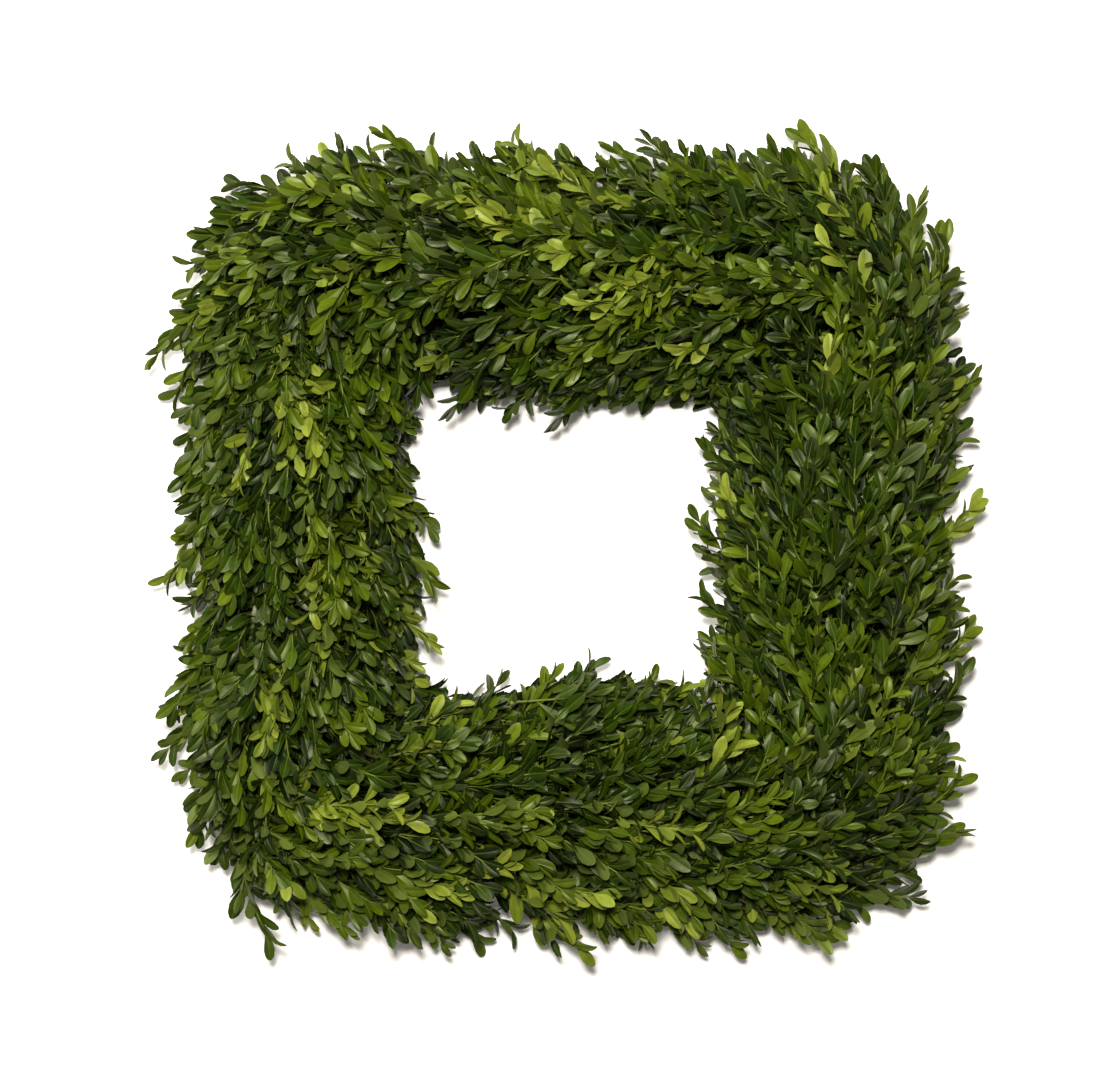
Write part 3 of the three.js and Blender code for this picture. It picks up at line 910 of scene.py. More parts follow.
        # The plain leaves follow the full ones in the collection, and grow where other sprigs cover them.
        separate = {"Separate Children": True, "Reset Children": True}
        shapes = add("GeometryNodeCollectionInfo", {"Collection": use["Leaf Shapes"], **separate})
        last_shape = add("ShaderNodeMath", {0: use["Shape Count"], 1: 1.0}, operation="SUBTRACT")
        drawn = {"Min_002": 0, "Max_002": last_shape, "Seed": seeds[4]}
        which = add("FunctionNodeRandomValue", drawn, data_type="INT")
        is_plain = add("ShaderNodeMath", {0: along, 1: use["Plain Part"]}, operation="LESS_THAN")
        chosen = {0: is_plain, 1: use["Shape Count"], 2: which}
        which = add("ShaderNodeMath", chosen, operation="MULTIPLY_ADD")
        leaves = add(
            "GeometryNodeInstanceOnPoints",
            {
                "Points": doubled,
                "Instance": shapes,
                "Pick Instance": True,
                "Instance Index": which,
                "Rotation": turn,
                "Scale": size,
            },
        )
        tinted = add(
            "GeometryNodeStoreNamedAttribute",
            {"Geometry": leaves, "Name": "leaf_tint", "Value": shade},
            data_type="FLOAT",
            domain="INSTANCE",
        )
        whole = add("GeometryNodeJoinGeometry", {"Geometry": [stem, tinted]})
        real = add("GeometryNodeRealizeInstances", {"Geometry": whole})
        add("NodeGroupOutput", {"Geometry": real})
        return tree

    def build(self) -> None:
        """Builds the leaf shapes and one mesh of each kind of sprig, kept in collections of their own."""
        self.leaves = bpy.data.collections.new("leaf_shapes")
        self.collection = bpy.data.collections.new("sprig_kinds")
        for collection in (self.leaves, self.collection):
            bpy.context.scene.collection.children.link(collection)
        for is_plain in (False, True):
            for pose in LeafPose:
                mesh = self.leaf.mesh(pose, is_plain)
                self.leaves.objects.link(bpy.data.objects.new(mesh.name, mesh))
        tree = self.tree()
        for i, kind in enumerate(self.kinds):
            values = {
                "Length": kind.length * MM,
                "Arch": kind.arch * MM,
                "Sway": kind.sway * MM,
                "Pairs": kind.pairs,
                "First Leaf": kind.first_leaf,
                "Base Splay": kind.base_splay,
                "Tip Splay": kind.tip_splay,
                "Least Facing": kind.least_facing,
                "Most Facing": kind.most_facing,
                "Stem Radius": self.stem_radius * MM,
                "Leaf Shapes": self.leaves,
                "Shape Count": len(LeafPose),
                "Plain Part": kind.plain_part,
                "Seed": self.seed_step * i + self.first_seed,
            }
            mesh = grown_mesh(f"sprig_kind_{i}", bpy.data.meshes.new("nothing"), tree, values)
            self.collection.objects.link(bpy.data.objects.new(mesh.name, mesh))
            log.info("sprig kind %d: %d triangles", i, sum(len(p.vertices) - 2 for p in mesh.polygons))

    def clear(self) -> None:
        """Removes the leaf shapes and the kinds of sprig, once the bunches are made of them."""
        for collection in (self.leaves, self.collection):
            for piece in list(collection.objects):
                mesh = piece.data
                bpy.data.objects.remove(piece)
                bpy.data.meshes.remove(mesh)
            bpy.data.collections.remove(collection)


class Row(Enum):
    """The rows of bunches: bearings that their tips fill, where their stems leave the wire, and round it."""

    OUTER = (0.0, 60.0, 0.5, 12.0)
    MIDDLE = (60.0, 120.0, 0.75, 90.0)
    INNER = (120.0, 180.0, 1.0, 168.0)

    @property
    def leaves_at(self) -> float:
        """The part of a station at which the row's stems turn out."""
        return self.value[2]

    @property
    def stem_at(self) -> float:
        """Degrees round the raised wire at which the row's stems lie."""
        return self.value[3]

    def bunch(self, station: int) -> str:
        """Names the row's bunch at a station, counted from 0."""
        return f"{self.name.lower()}_bunch_{station + 1:02d}"

    @classmethod
    def of_bearing(cls, bearing: float) -> "Row":
        """Gives the row that fills a bearing."""
        return next(row for row in cls if row.value[0] <= bearing <= row.value[1])


class Zone(Enum):
    """The part of the ring that a layer of sprigs covers."""

    ALL_OVER = "from the rim over the face to the hole's edge"
    RIM = "the outer flank"
    HOLE = "the flank round the hole"
    CORNERS = "the four corners, from flank to flank"


@dataclass(frozen=True)
class Spread:
    """How a layer's sprigs are spread: their number, zone, the depths of their tips, lift and shade. Under
    the surface that shade darkens the sprigs as painted shade in the gaps.
    """

    count: int
    zone: Zone
    shallow: float
    deep: float
    lift: float
    shade: float
    tuft: int = 1
    is_inner: bool = False


class Layer(Enum):
    """The layers of sprigs: the face in shingles and tufts, darker ones under it, flanks and corners. The
    darkness of those under the surface is painted shade.
    """

    SURFACE = Spread(450, Zone.ALL_OVER, 0.82, 0.94, 26.0, 0.0)
    TUFTS = Spread(160, Zone.ALL_OVER, 0.88, 0.99, 26.0, 0.03, tuft=2)
    # The under layer, the skirts and the corner fill are tinted far darker: painted shade in the gaps between
    # the leaves.
    UNDER = Spread(160, Zone.ALL_OVER, 0.62, 0.82, 20.0, -0.38, is_inner=True)
    OUTER_SKIRT = Spread(60, Zone.RIM, 0.6, 0.88, 8.0, -0.36, is_inner=True)
    INNER_SKIRT = Spread(110, Zone.HOLE, 0.66, 0.92, -12.0, -0.34, is_inner=True)
    OUTER_EDGE = Spread(70, Zone.RIM, 0.84, 1.05, 30.0, 0.0)
    INNER_EDGE = Spread(64, Zone.HOLE, 0.8, 1.03, 24.0, -0.04)
    CORNERS = Spread(72, Zone.CORNERS, 0.62, 0.92, 26.0, -0.04)
    CORNER_FILL = Spread(56, Zone.CORNERS, 0.4, 0.72, 6.0, -0.38, is_inner=True)


@dataclass(frozen=True)
class Sprig:
    """One sprig: where its shoot starts, how it is turned, and what it looks like."""

    base: Vector
    forward: Vector
    turn: Quaternion
    size: float
    kind: int
    tint: float
    bearing: float


@dataclass(frozen=True)
class Raggedness:
    """How the hand-tied foliage departs from an even ring.

    Strays are single sprigs, given by degrees round the ring and by how far their leaves stand past the
    edge. Leans are how far all the tips lean past the rim, or into the hole, at even steps round the ring.
    Tips near the top stay upright, and from there the lean grows with the bearing, in degrees. Bright tufts
    of new growth stand at places across and up from the centre.
    """

    rim_strays: tuple[tuple[float, float], ...] = (
        (5, 13), (22, 14), (50, 7), (59, 15), (155, 20), (232, 15), (271, 12), (314, 12), (323, 9),
        (78, 12), (97, 10), (114, 13), (184, 12), (207, 13), (252, 10), (292, 11), (347, 10),
    )
    hole_strays: tuple[tuple[float, float], ...] = (
        (10, 12), (33, 5), (92, 13), (112, 8), (128, 5), (172, 5), (193, 6), (214, 6), (262, 9), (279, 14),
        (301, 8), (322, 5), (338, 5), (356, 6),
    )
    stray_bearing: float = 20.0
    stray_heights: tuple[float, float] = (18.0, 42.0)
    stray_lift: float = 30.0
    stray_shade: float = 0.1
    leaf_past_tip: float = 9.0
    rim_leans: tuple[float, ...] = (-3, 10, -1, 1, 8, -3, -5, 2, -8, 2, 4, -6)
    hole_leans: tuple[float, ...] = (-11, -12, -9, -1, -8, -12, -18, -13, -6, 8, 5, -12)
    upright_half: float = 30.0
    lean_over: float = 50.0
    bright_tufts: tuple[tuple[float, float], ...] = (
        (-181, 94), (-168, 62), (-194, -114), (-18, 248), (170, 127), (203, 133)
    )
    bright_reach: float = 12.0
    bright_height: float = 30.0

    def lean(self, angle: float, bearing: float) -> float:
        """Gives how far a tip leans out of the even ring.

        Args:
            angle: The tip's direction from the centre, in radians.
            bearing: The tip's bearing in the section, in degrees.

        Returns:
            The way outwards from the wreath's centre, in millimetres.
        """
        leans = self.rim_leans if bearing < 90 else self.hole_leans
        step = angle / TURN * len(leans)
        part = step - math.floor(step)
        before, after = (leans[(math.floor(step) + i) % len(leans)] for i in (0, 1))
        weight = min(1.0, max(0.0, (abs(bearing - 90) - self.upright_half) / self.lean_over))
        return (before * (1 - part) + after * part) * weight * (1 if bearing < 90 else -1)

    def is_bright(self, tip: Vector) -> bool:
        """Tells whether a tip stands in one of the bright tufts."""
        near = any((Vector(tuft) - tip.xy).length < self.bright_reach for tuft in self.bright_tufts)
        return near and tip.z > self.bright_height


@dataclass
class Foliage:
    """The 42 bunches of sprigs, each on the woody stems that the binding wire holds."""

    ring: Ring
    sprigs: SprigWork
    centre: Vector
    leaf_material: bpy.types.Material
    twig_material: bpy.types.Material
    ragged: Raggedness = Raggedness()
    seed: int = 11

    # Where the tips lie: the bearings that they keep to, and what share of the surface each bearing has.
    flank: float = 2.0
    rim_flank: float = 26.0
    hole_flank: float = 28.0
    spread_bearings: tuple[float, float] = (3.0, 177.0)
    mean_radius: float = 172.0
    radius_swing: float = 74.0
    halvings: int = 24
    corner_degrees: float = 34.0
    looseness: float = 0.04
    tuft_looseness: float = 0.1
    bearing_looseness: float = 50.0
    loose_lift: float = 6.0

    # How a sprig stands: degrees that it lifts, swings and rolls by, its size, how far it faces the flank,
    # where across the ring its flow is read, and how deep its root lies.
    edge_lift: float = 20.0
    swing: float = 10.0
    roll: float = 14.0
    sizes: tuple[float, float] = (0.9, 1.08)
    facing_spread: float = 0.45
    flow_across: float = 0.85
    root_cover: float = 14.0
    tip_ahead: float = 0.9

    # Up to each share of the sprigs, the range of their tints: new growth, old wood, and the rest.
    tints: tuple[tuple[float, float, float], ...] = ((0.1, 0.72, 0.98), (0.46, 0.02, 0.24), (1.0, 0.28, 0.62))
    bright_tints: tuple[float, float] = (0.8, 1.0)

    # The stems: how they lie round the raised wire, fork and end in the sprigs.
    sprigs_a_stem: int = 4
    sorting_degrees: float = 15.0
    stem_tail: float = 0.6
    loose_tail: float = 0.06
    stem_radius: float = 1.2
    fork_radius_share: float = 0.85
    twig_radius_share: float = 0.8
    stem_fan: float = 96.0
    stem_reaches: tuple[float, float] = (5.9, 3.6)
    stem_steps: int = 5
    twig_steps: int = 6
    bend_part: float = 0.5
    wire_height: float = 13.0
    fork_part: float = 0.62
    twig_overlap: float = 1.5
    stem_cover: float = 18.0
    stem_sides: int = 5
    floor_gap: float = 8.0
    plans: dict[str, list[Sprig]] = field(default_factory=dict)

    def filled(self, bearing: float) -> float:
        """Gives how much of the surface lies below a bearing, since the ring is wider outside."""
        turned = math.radians(bearing)
        return self.mean_radius * turned + self.radius_swing * math.sin(turned)

    def bearing_for(self, share: float) -> float:
        """Turns an even share to a bearing, so that the ring's wide outside gets more sprigs.

        Args:
            share: The share of the surface that lies below the bearing, from 0 to 1.

        Returns:
            The bearing in degrees.
        """
        low, high = self.spread_bearings
        first, last = self.filled(low), self.filled(high)
        wanted = first + share * (last - first)
        for _ in range(self.halvings):
            bearing = (low + high) / 2
            if self.filled(bearing) < wanted:
                low = bearing
            else:
                high = bearing
        return (low + high) / 2

    def add_sprig(
        self,
        chance: random.Random,
        tip: Vector,
        place: float,
        bearing: float,
        lift: float,
        shade: float,
        is_inner: bool = False,
    ) -> None:
        """Plans one sprig and gives it to the bunch whose stems reach it.

        Args:
            chance: The stream of random numbers.
            tip: Where the shoot ends, in millimetres.
            place: The tip's place on the ring, in stations.
            bearing: The tip's bearing in the section, in degrees.
            lift: How steeply the shoot leaves the flow, in degrees.
            shade: What is added to its tint. For the sprigs under the surface it is painted shade.
            is_inner: Whether it is one of the plainer sprigs under the surface.
        """
        turned = math.radians(bearing)
        flow, level = self.ring.directions(place, self.flow_across * math.cos(turned))
        out = level * math.cos(turned) + UP * math.sin(turned)
        around = UP * math.cos(turned) - level * math.sin(turned)
        side = math.radians(chance.gauss(0.0, self.swing))
        rise = math.radians(lift + self.edge_lift * abs(math.cos(turned)))
        forward = (flow * math.cos(side) + around * math.sin(side)) * math.cos(rise) + out * math.sin(rise)
        roll = math.radians(chance.gauss(0.0, self.roll))
        kind = self.sprigs.pick(chance, is_inner)
        size = chance.uniform(*self.sizes)
        length = self.sprigs.kinds[kind].length * size
        root = self.ring.within(tip - forward.normalized() * length, self.root_cover)
        forward = (tip - root).normalized()
        faced = math.radians(90 + (bearing - 90) * self.facing_spread)
        facing = level * math.cos(faced) + UP * math.sin(faced)
        facing = (facing - forward * facing.dot(forward)).normalized()
        facing.rotate(Quaternion(forward, roll))
        turn = Matrix((forward.cross(facing), forward, facing)).transposed().to_quaternion()
        drawn = chance.random()
        # The shade darkens the sprigs under the surface: painted shade in the gaps between the leaves.
        tint = chance.uniform(*next((low, high) for share, low, high in self.tints if drawn < share)) + shade
        if self.ragged.is_bright(tip):
            tint = chance.uniform(*self.bright_tints)
        row = Row.of_bearing(bearing)
        station = math.floor(place - row.leaves_at - self.tip_ahead) % self.ring.stations
        sprig = Sprig(tip - forward * length, forward, turn, size, kind, max(0.0, tint), bearing)
        self.plans.setdefault(row.bunch(station), []).append(sprig)

    def plan_layer(self, chance: random.Random, spread: Spread) -> None:
        """Spreads a layer's sprigs evenly over its part of the ring's rounded surface.

        Args:
            chance: The stream of random numbers.
            spread: How the layer's sprigs are spread.
        """
        looseness = self.tuft_looseness if spread.tuft > 1 else self.looseness
        starts = chance.random(), chance.random()
        for i in range(spread.count):
            number = i // spread.tuft
            place, share = ((start + number * step) % 1.0 for start, step in zip(starts, EVEN_STEPS))
            place *= self.ring.stations
            if spread.zone is Zone.CORNERS:
                corner = 45 + 90 * (number % 4) + self.corner_degrees * (place / self.ring.stations - 0.5)
                place = self.ring.place_at(math.radians(corner))
            if spread.zone is Zone.RIM:
                bearing = self.flank + self.rim_flank * share
            elif spread.zone is Zone.HOLE:
                bearing = 180 - self.flank - self.hole_flank * share
            else:
                bearing = self.bearing_for(share)
            place += chance.gauss(0, looseness)
            bearing += chance.gauss(0, looseness * self.bearing_looseness)
            bearing = min(180 - self.flank, max(self.flank, bearing))
            tip = self.ring.in_foliage(place, bearing, chance.uniform(spread.shallow, spread.deep))
            outwards = Vector((tip.x, tip.y, 0.0)).normalized()
            tip += outwards * self.ragged.lean(self.ring.angle_at(place), bearing)
            lift = spread.lift + chance.gauss(0.0, self.loose_lift)
            self.add_sprig(chance, tip, place, bearing, lift, spread.shade, spread.is_inner)

    def plan(self) -> None:
        """Plans every layer of sprigs and then the strays past the rim and into the hole."""
        chance = random.Random(self.seed)
        for layer in Layer:
            self.plan_layer(chance, layer.value)
        ragged = self.ragged
        for strays, way, bearing in (
            (ragged.rim_strays, 1, ragged.stray_bearing),
            (ragged.hole_strays, -1, 180 - ragged.stray_bearing),
        ):
            for degrees, reach in strays:
                angle = math.radians(degrees)
                across = way * (1 + (reach - ragged.leaf_past_tip) / self.ring.half_band)
                tip = self.ring.at_angle(angle, across, chance.uniform(*ragged.stray_heights))
                place = self.ring.place_at(angle)
                self.add_sprig(chance, tip, place, bearing, ragged.stray_lift, ragged.stray_shade)

    def stems_of(self, row: Row, station: int, sprigs: list[Sprig], chance: random.Random) -> list[Strand]:
        """Routes a bunch's stems: from the cut end along the raised wire, out of the binding, to the sprigs.

        Args:
            row: The bunch's row.
            station: The bunch's place, counted from 0.
            sprigs: Its sprigs.
            chance: The stream of random numbers.

        Returns:
            The stems and their twigs.
        """
        stems = []
        sprigs = sorted(sprigs, key=lambda sprig: round(sprig.bearing / self.sorting_degrees))
        groups = [sprigs[i : i + self.sprigs_a_stem] for i in range(0, len(sprigs), self.sprigs_a_stem)]
        leave = station + row.leaves_at
        for number, group in enumerate(groups):
            around = math.radians(row.stem_at + (number / max(1, len(groups) - 1) - 0.5) * self.stem_fan)
            reach = self.stem_reaches[number % 2]
            outwards, height = reach * math.cos(around), self.wire_height + reach * math.sin(around)
            start = leave - self.stem_tail + chance.uniform(-self.loose_tail, self.loose_tail)
            places = [start + (leave - start) * i / self.stem_steps for i in range(self.stem_steps + 1)]
            points = [self.ring.beside_wire(place, outwards, height) for place in places]
            middle = sum((sprig.base for sprig in group), Vector()) / len(group)
            fork = points[-1].lerp(middle, self.fork_part)
            flow, _ = self.ring.directions(leave, 0.0)
            bend = points[-1] + flow * (fork - points[-1]).length * self.bend_part
            points += self.bow(points[-1], bend, fork, self.stem_steps)[1:]
            stems.append(Strand(points, self.stem_radius, self.stem_radius * self.fork_radius_share))
            for sprig in group:
                bend = sprig.base - sprig.forward * (sprig.base - fork).length * self.bend_part
                end = sprig.base + sprig.forward * self.twig_overlap
                first, *hidden, last = self.bow(fork, bend, end, self.twig_steps)
                hidden = [self.ring.within(point, self.stem_cover) for point in hidden]
                radii = self.stem_radius * self.twig_radius_share, self.sprigs.stem_radius * sprig.size
                stems.append(Strand([first, *hidden, last], *radii))
        return stems

    @staticmethod
    def bow(start: Vector, bend: Vector, end: Vector, steps: int) -> list[Vector]:
        """Gives points along a bow from start to end, drawn towards bend."""
        parts = [i / steps for i in range(steps + 1)]
        return [start * (1 - p) ** 2 + bend * 2 * p * (1 - p) + end * p * p for p in parts]

    def bunch_plan(self, name: str, sprigs: list[Sprig], stems: list[Strand]) -> bpy.types.Mesh:
        """Makes the mesh that the bunch tree starts from: a point a sprig, and a chain of points a stem.

        Args:
            name: The bunch's name.
            sprigs: Its sprigs.
            stems: Its stems and twigs.

        Returns:
            The mesh, with the attributes that the tree reads.
        """
        mesh = plan_mesh(name + "_plan", [sprig.base for sprig in sprigs], stems, self.centre)
        count, rest = len(sprigs), len(mesh.vertices) - len(sprigs)
        columns = (
            ("on_stem", "BOOLEAN", [False] * count + [True] * rest),
            ("turn", "QUATERNION", [part for sprig in sprigs for part in sprig.turn] + [*UNTURNED] * rest),
            ("size", "FLOAT", [sprig.size for sprig in sprigs] + [1.0] * rest),
            ("kind", "INT", [sprig.kind for sprig in sprigs] + [0] * rest),
            ("sprig_tint", "FLOAT", [sprig.tint for sprig in sprigs] + [0.0] * rest),
            ("stem_age", "FLOAT", [0.0] * count + [1.0] * rest),
        )
        for label, kind, values in columns:
            mesh.attributes.new(label, kind, "POINT").data.foreach_set("value", values)
        return mesh

    def tree(self) -> bpy.types.NodeTree:
        """Builds the tree that turns a bunch's plan into leaves and stems.

        Returns:
            The Geometry Nodes tree.
        """
        tree, use = new_tree(
            "boxwood_bunch",
            Collection=("Sprig Kinds",),
            Float=("Floor Gap",),
            Int=("Stem Sides",),
            Material=("Leaf Material", "Twig Material"),
        )
        add = partial(add_node, tree)
        kinds_of_value = {"on_stem": "BOOLEAN", "turn": "QUATERNION", "size": "FLOAT", "kind": "INT"}
        named = {
            label: add("GeometryNodeInputNamedAttribute", {"Name": label}, data_type=kind)
            for label, kind in {**kinds_of_value, "width": "FLOAT", "leafy": "FLOAT"}.items()
        }
        separate = {"Separate Children": True, "Reset Children": True}
        kinds = add("GeometryNodeCollectionInfo", {"Collection": use["Sprig Kinds"], **separate})
        sprigs = add(
            "GeometryNodeInstanceOnPoints",
            {
                "Points": use["Geometry"],
                "Selection": add("FunctionNodeBooleanMath", {0: named["on_stem"]}, operation="NOT"),
                "Instance": kinds,
                "Pick Instance": True,
                "Instance Index": named["kind"],
                "Rotation": named["turn"],
                "Scale": named["size"],
            },
        )
        chained = {"Mesh": use["Geometry"], "Selection": named["on_stem"]}
        chains = add("GeometryNodeMeshToCurve", chained, mode="EDGES")
        section_sizes = {"Resolution": use["Stem Sides"], "Radius": 1 * MM}
        section = add("GeometryNodeCurvePrimitiveCircle", section_sizes, mode="RADIUS")
        drawn = {"Curve": chains, "Profile Curve": section, "Scale": named["width"], "Fill Caps": True}
        stems = add("GeometryNodeCurveToMesh", drawn)
        whole = add("GeometryNodeJoinGeometry", {"Geometry": [stems, sprigs]})
        real = add("GeometryNodeRealizeInstances", {"Geometry": whole})

        # Leaves near the floor bend up off it: heights under the gap are drawn together above the floor.
        gap = use["Floor Gap"]
        x, y, z = add("ShaderNodeSeparateXYZ", {0: add("GeometryNodeInputPosition")}).outputs
        over = add("ShaderNodeMath", {0: z, 1: gap}, operation="SUBTRACT")
        ratio = add("ShaderNodeMath", {0: over, 1: gap}, operation="DIVIDE")
        eased = add("ShaderNodeMath", {0: ratio}, operation="EXPONENT")
        lifted = add("ShaderNodeMath", {0: eased, 1: gap}, operation="MULTIPLY")
        moved = add("ShaderNodeCombineXYZ", {"X": x, "Y": y, "Z": lifted})
        low = add("FunctionNodeCompare", {"A": z, "B": gap}, data_type="FLOAT", operation="LESS_THAN")
        bent = add("GeometryNodeSetPosition", {"Geometry": real, "Selection": low, "Position": moved})
        smooth = add("GeometryNodeSetShadeSmooth", {"Geometry": bent}, domain="FACE")
        twigs = add("GeometryNodeSetMaterial", {"Geometry": smooth, "Material": use["Twig Material"]})
        on_leaves = {"Selection": named["leafy"], "Material": use["Leaf Material"]}
        leaves = add("GeometryNodeSetMaterial", {"Geometry": twigs, **on_leaves})
        add("NodeGroupOutput", {"Geometry": leaves})
        return tree

    def build(self) -> None:
        """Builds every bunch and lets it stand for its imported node."""
        self.plan()
        tree = self.tree()
        chance = random.Random(self.seed + 1)
        values = {
            "Sprig Kinds": self.sprigs.collection,
            "Floor Gap": self.floor_gap * MM,
            "Stem Sides": self.stem_sides,
            "Leaf Material": self.leaf_material,
            "Twig Material": self.twig_material,
        }
        made = {}
        for row in Row:
            for station in range(self.ring.stations):
                name = row.bunch(station)
                sprigs = self.plans[name]
                plan = self.bunch_plan(name, sprigs, self.stems_of(row, station, sprigs, chance))
                made[name] = grown_mesh(name.replace("bunch", "sprigs"), plan, tree, values)
        self.sprigs.clear()
        helpers = ("turn", "size", "kind", "width", "on_stem", "leafy")
        total = sum(stand_in(mesh, name, helpers) for name, mesh in made.items())
        log.info("foliage: %d sprigs, %d triangles", sum(len(plan) for plan in self.plans.values()), total)


@dataclass
class Wires:
    """The welded frame of three square wires on arched crossbars, and the coil of binding wire."""

    ring: Ring
    centre: Vector
    frame_finish: WireFinish = WireFinish("green_dipped_steel", "#1F2B1C", "#3C4237", 0.42, 6.0)
    binding_finish: WireFinish = WireFinish("enamelled_florists_wire", "#2C4A24", "#5A6B4A", 0.34, 4.0)
    wire_radius: float = 1.75
    middle_radius: float = 2.0
    floor_spread: float = 31.0
    middle_height: float = 13.0
    frame_sides: int = 10
    ring_points: int = 240
    crossbars: int = 8
    crossbar_radius: float = 1.25
    crossbar_drop: float = 0.4
    half_arch_steps: int = 8
    binding_radius: float = 8.8
    binding_wire_radius: float = 0.75
    binding_sides: int = 8
    points_a_turn: int = 14

    def tree(self) -> bpy.types.NodeTree:
        """Builds the tree that draws round wire along chains of points.

        Returns:
            The Geometry Nodes tree.
        """
        tree, use = new_tree("round_wire", Int=("Sides",), Material=("Wire Material",))
        add = partial(add_node, tree)
        width = add("GeometryNodeInputNamedAttribute", {"Name": "width"}, data_type="FLOAT")
        path = add("GeometryNodeMeshToCurve", {"Mesh": use["Geometry"]}, mode="EDGES")
        section_sizes = {"Resolution": use["Sides"], "Radius": 1 * MM}
        section = add("GeometryNodeCurvePrimitiveCircle", section_sizes, mode="RADIUS")
        drawn = {"Curve": path, "Profile Curve": section, "Scale": width, "Fill Caps": True}
        wire = add("GeometryNodeCurveToMesh", drawn)
        smooth = add("GeometryNodeSetShadeSmooth", {"Geometry": wire}, domain="FACE")
        real = add("GeometryNodeRealizeInstances", {"Geometry": smooth})
        coated = add("GeometryNodeSetMaterial", {"Geometry": real, "Material": use["Wire Material"]})
        add("NodeGroupOutput", {"Geometry": coated})
        return tree

    def frame(self) -> list[Strand]:
        """Lays out the frame.

        Returns:
            Its two floor wires, the raised wire between them and the crossbars that carry it.
        """
        strands = []
        for out, height, radius in (
            (-self.floor_spread, self.wire_radius, self.wire_radius),
            (0.0, self.middle_height, self.middle_radius),
            (self.floor_spread, self.wire_radius, self.wire_radius),
        ):
            angles = [TURN * i / self.ring_points for i in range(self.ring_points)]
            points = [self.ring.at_angle(angle, out / self.ring.half_band, height) for angle in angles]
            strands.append(Strand(points, radius, radius, is_closed=True))
        top = self.middle_height - self.middle_radius - self.crossbar_drop
        for i in range(self.crossbars):
            angle = self.ring.angle_at(self.ring.stations * i / self.crossbars)
            arch = []
            for step in range(-self.half_arch_steps, self.half_arch_steps + 1):
                part = step / self.half_arch_steps
                height = self.wire_radius + (top - self.wire_radius) * (1 - part * part)
                arch.append(self.ring.at_angle(angle, part * self.floor_spread / self.ring.half_band, height))
            strands.append(Strand(arch, self.crossbar_radius, self.crossbar_radius))
        return strands

    def coil(self) -> list[Strand]:
        """Lays out the binding wire, with one turn round the raised wire for each bunch of a row.

        Returns:
            The one closed coil.
        """
        points = []
        for i in range(self.ring.stations * self.points_a_turn):
            around = TURN * i / self.points_a_turn
            outwards = self.binding_radius * math.cos(around)
            height = self.middle_height + self.binding_radius * math.sin(around)
            points.append(self.ring.beside_wire(i / self.points_a_turn, outwards, height))
        return [Strand(points, self.binding_wire_radius, self.binding_wire_radius, is_closed=True)]

    def build(self) -> None:
        """Builds the frame and the binding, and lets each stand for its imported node."""
        tree = self.tree()
        frame = self.frame(), self.frame_sides, self.frame_finish
        coil = self.coil(), self.binding_sides, self.binding_finish
        for name, (strands, sides, finish), node, slot in (
            ("frame_wires", frame, "wire_frame", "frame_wire"),
            ("binding_coil", coil, "binding_wire", "binding_wire"),
        ):
            plan = plan_mesh(name + "_plan", (), strands, self.centre)
            mesh = grown_mesh(name, plan, tree, {"Sides": sides, "Wire Material": finish.material()})
            stand_in(mesh, node, ("width",))


@dataclass(frozen=True)
class Softbox:
    """A square soft lamp that is aimed at the wreath, with its sizes in metres and its power in watts."""

    name: str
    place: tuple[float, float, float]
    width: float
    power: float


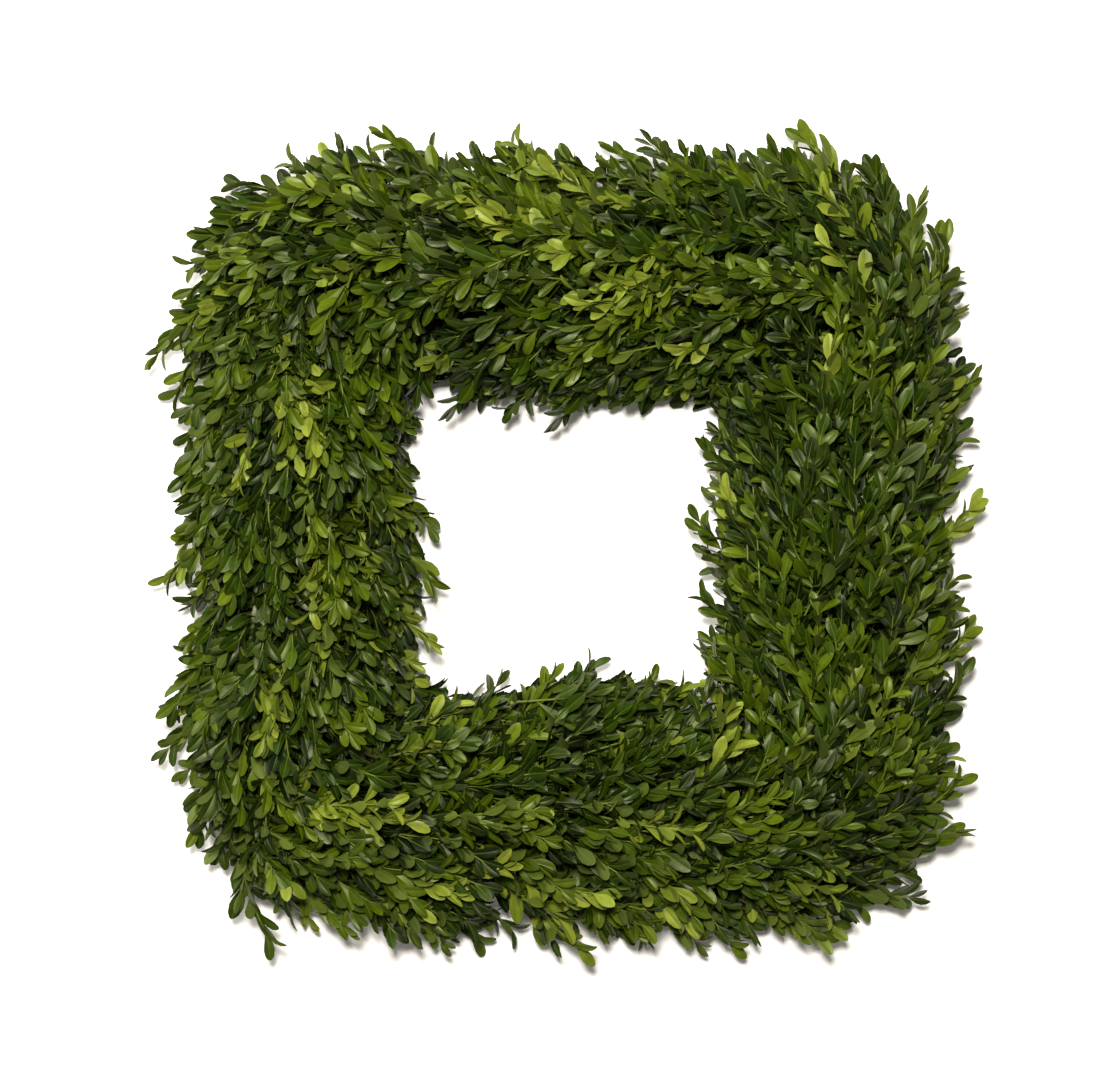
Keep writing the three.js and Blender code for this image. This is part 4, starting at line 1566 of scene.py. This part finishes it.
@dataclass
class Studio:
    """A white floor seen from straight above, with one lamp close to the camera and a larger one beside it.

    Its sizes are in metres.
    """

    centre: Vector
    softboxes: tuple[Softbox, ...] = (
        Softbox("key_softbox", (-0.1, 0.42, 2.0), 0.3, 63.5),
        Softbox("side_softbox", (-0.9, 1.5, 1.3), 1.0, 45.0),
    )
    lamp_colour: str = "#FFFAF3"
    fill_colour: str = "#FFF9F0"
    fill_strength: float = 0.28
    sensor_mm: float = 36.0
    camera_height: float = 1.7
    seen_width: float = 0.7215
    seen_height_above_floor: float = 0.03
    view_shift: tuple[float, float] = (-0.0085, 0.0065)
    floor_colour: str = "#F6F5F2"
    floor_roughness: float = 0.9
    floor_half: float = 6.0

    def build(self) -> None:
        """Builds the floor, the lights and the camera."""
        half = self.floor_half
        corners = [(-half, -half, 0.0), (half, -half, 0.0), (half, half, 0.0), (-half, half, 0.0)]
        mesh = bpy.data.meshes.new("white_floor")
        mesh.from_pydata(corners, [], [(0, 1, 2, 3)])
        floor = shown(mesh)

        # Matt seamless paper gives the eye a plain near-white with soft shadows and no reflection.
        paper, tree, shader = new_material("white_paper")
        feed(tree, shader, {"Base Color": linear(self.floor_colour), "Roughness": self.floor_roughness})
        mesh.materials.append(paper)

        scene = bpy.context.scene
        world = bpy.data.worlds.new("soft_studio")
        world.use_nodes = True
        fill = {"Color": linear(self.fill_colour), "Strength": self.fill_strength}
        feed(world.node_tree, world.node_tree.nodes["Background"], fill)
        scene.world = world
        for softbox in self.softboxes:
            lamp = bpy.data.lights.new(softbox.name, "AREA")
            lamp.size = softbox.width
            lamp.energy = softbox.power
            lamp.color = linear(self.lamp_colour)[:3]
            light = bpy.data.objects.new(softbox.name, lamp)
            light.location = softbox.place
            light.rotation_euler = (-light.location).to_track_quat("-Z", "Y").to_euler()
            scene.collection.objects.link(light)

        lens = bpy.data.cameras.new("camera")
        lens.sensor_width = self.sensor_mm
        lens.lens = self.sensor_mm * (self.camera_height - self.seen_height_above_floor) / self.seen_width
        camera = bpy.data.objects.new("camera", lens)
        camera.location = self.centre + Vector((*self.view_shift, self.camera_height))
        camera.rotation_euler = (0.0, 0.0, 0.0)
        scene.collection.objects.link(camera)
        scene.camera = camera
        scene.view_settings.view_transform = "Standard"


def main() -> None:
    """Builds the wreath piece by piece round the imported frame."""
    logging.basicConfig(level=logging.INFO, format="%(message)s")
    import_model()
    low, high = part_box("wire_frame")
    centre = Vector(((low.x + high.x) / 2, (low.y + high.y) / 2, 0.0))
    ring = Ring()
    sprigs = SprigWork()
    sprigs.build()
    Foliage(ring, sprigs, centre, LeafFinish().material(), TwigFinish().material()).build()
    Wires(ring, centre).build()
    Studio(centre).build()


if __name__ == "__main__":
    main()
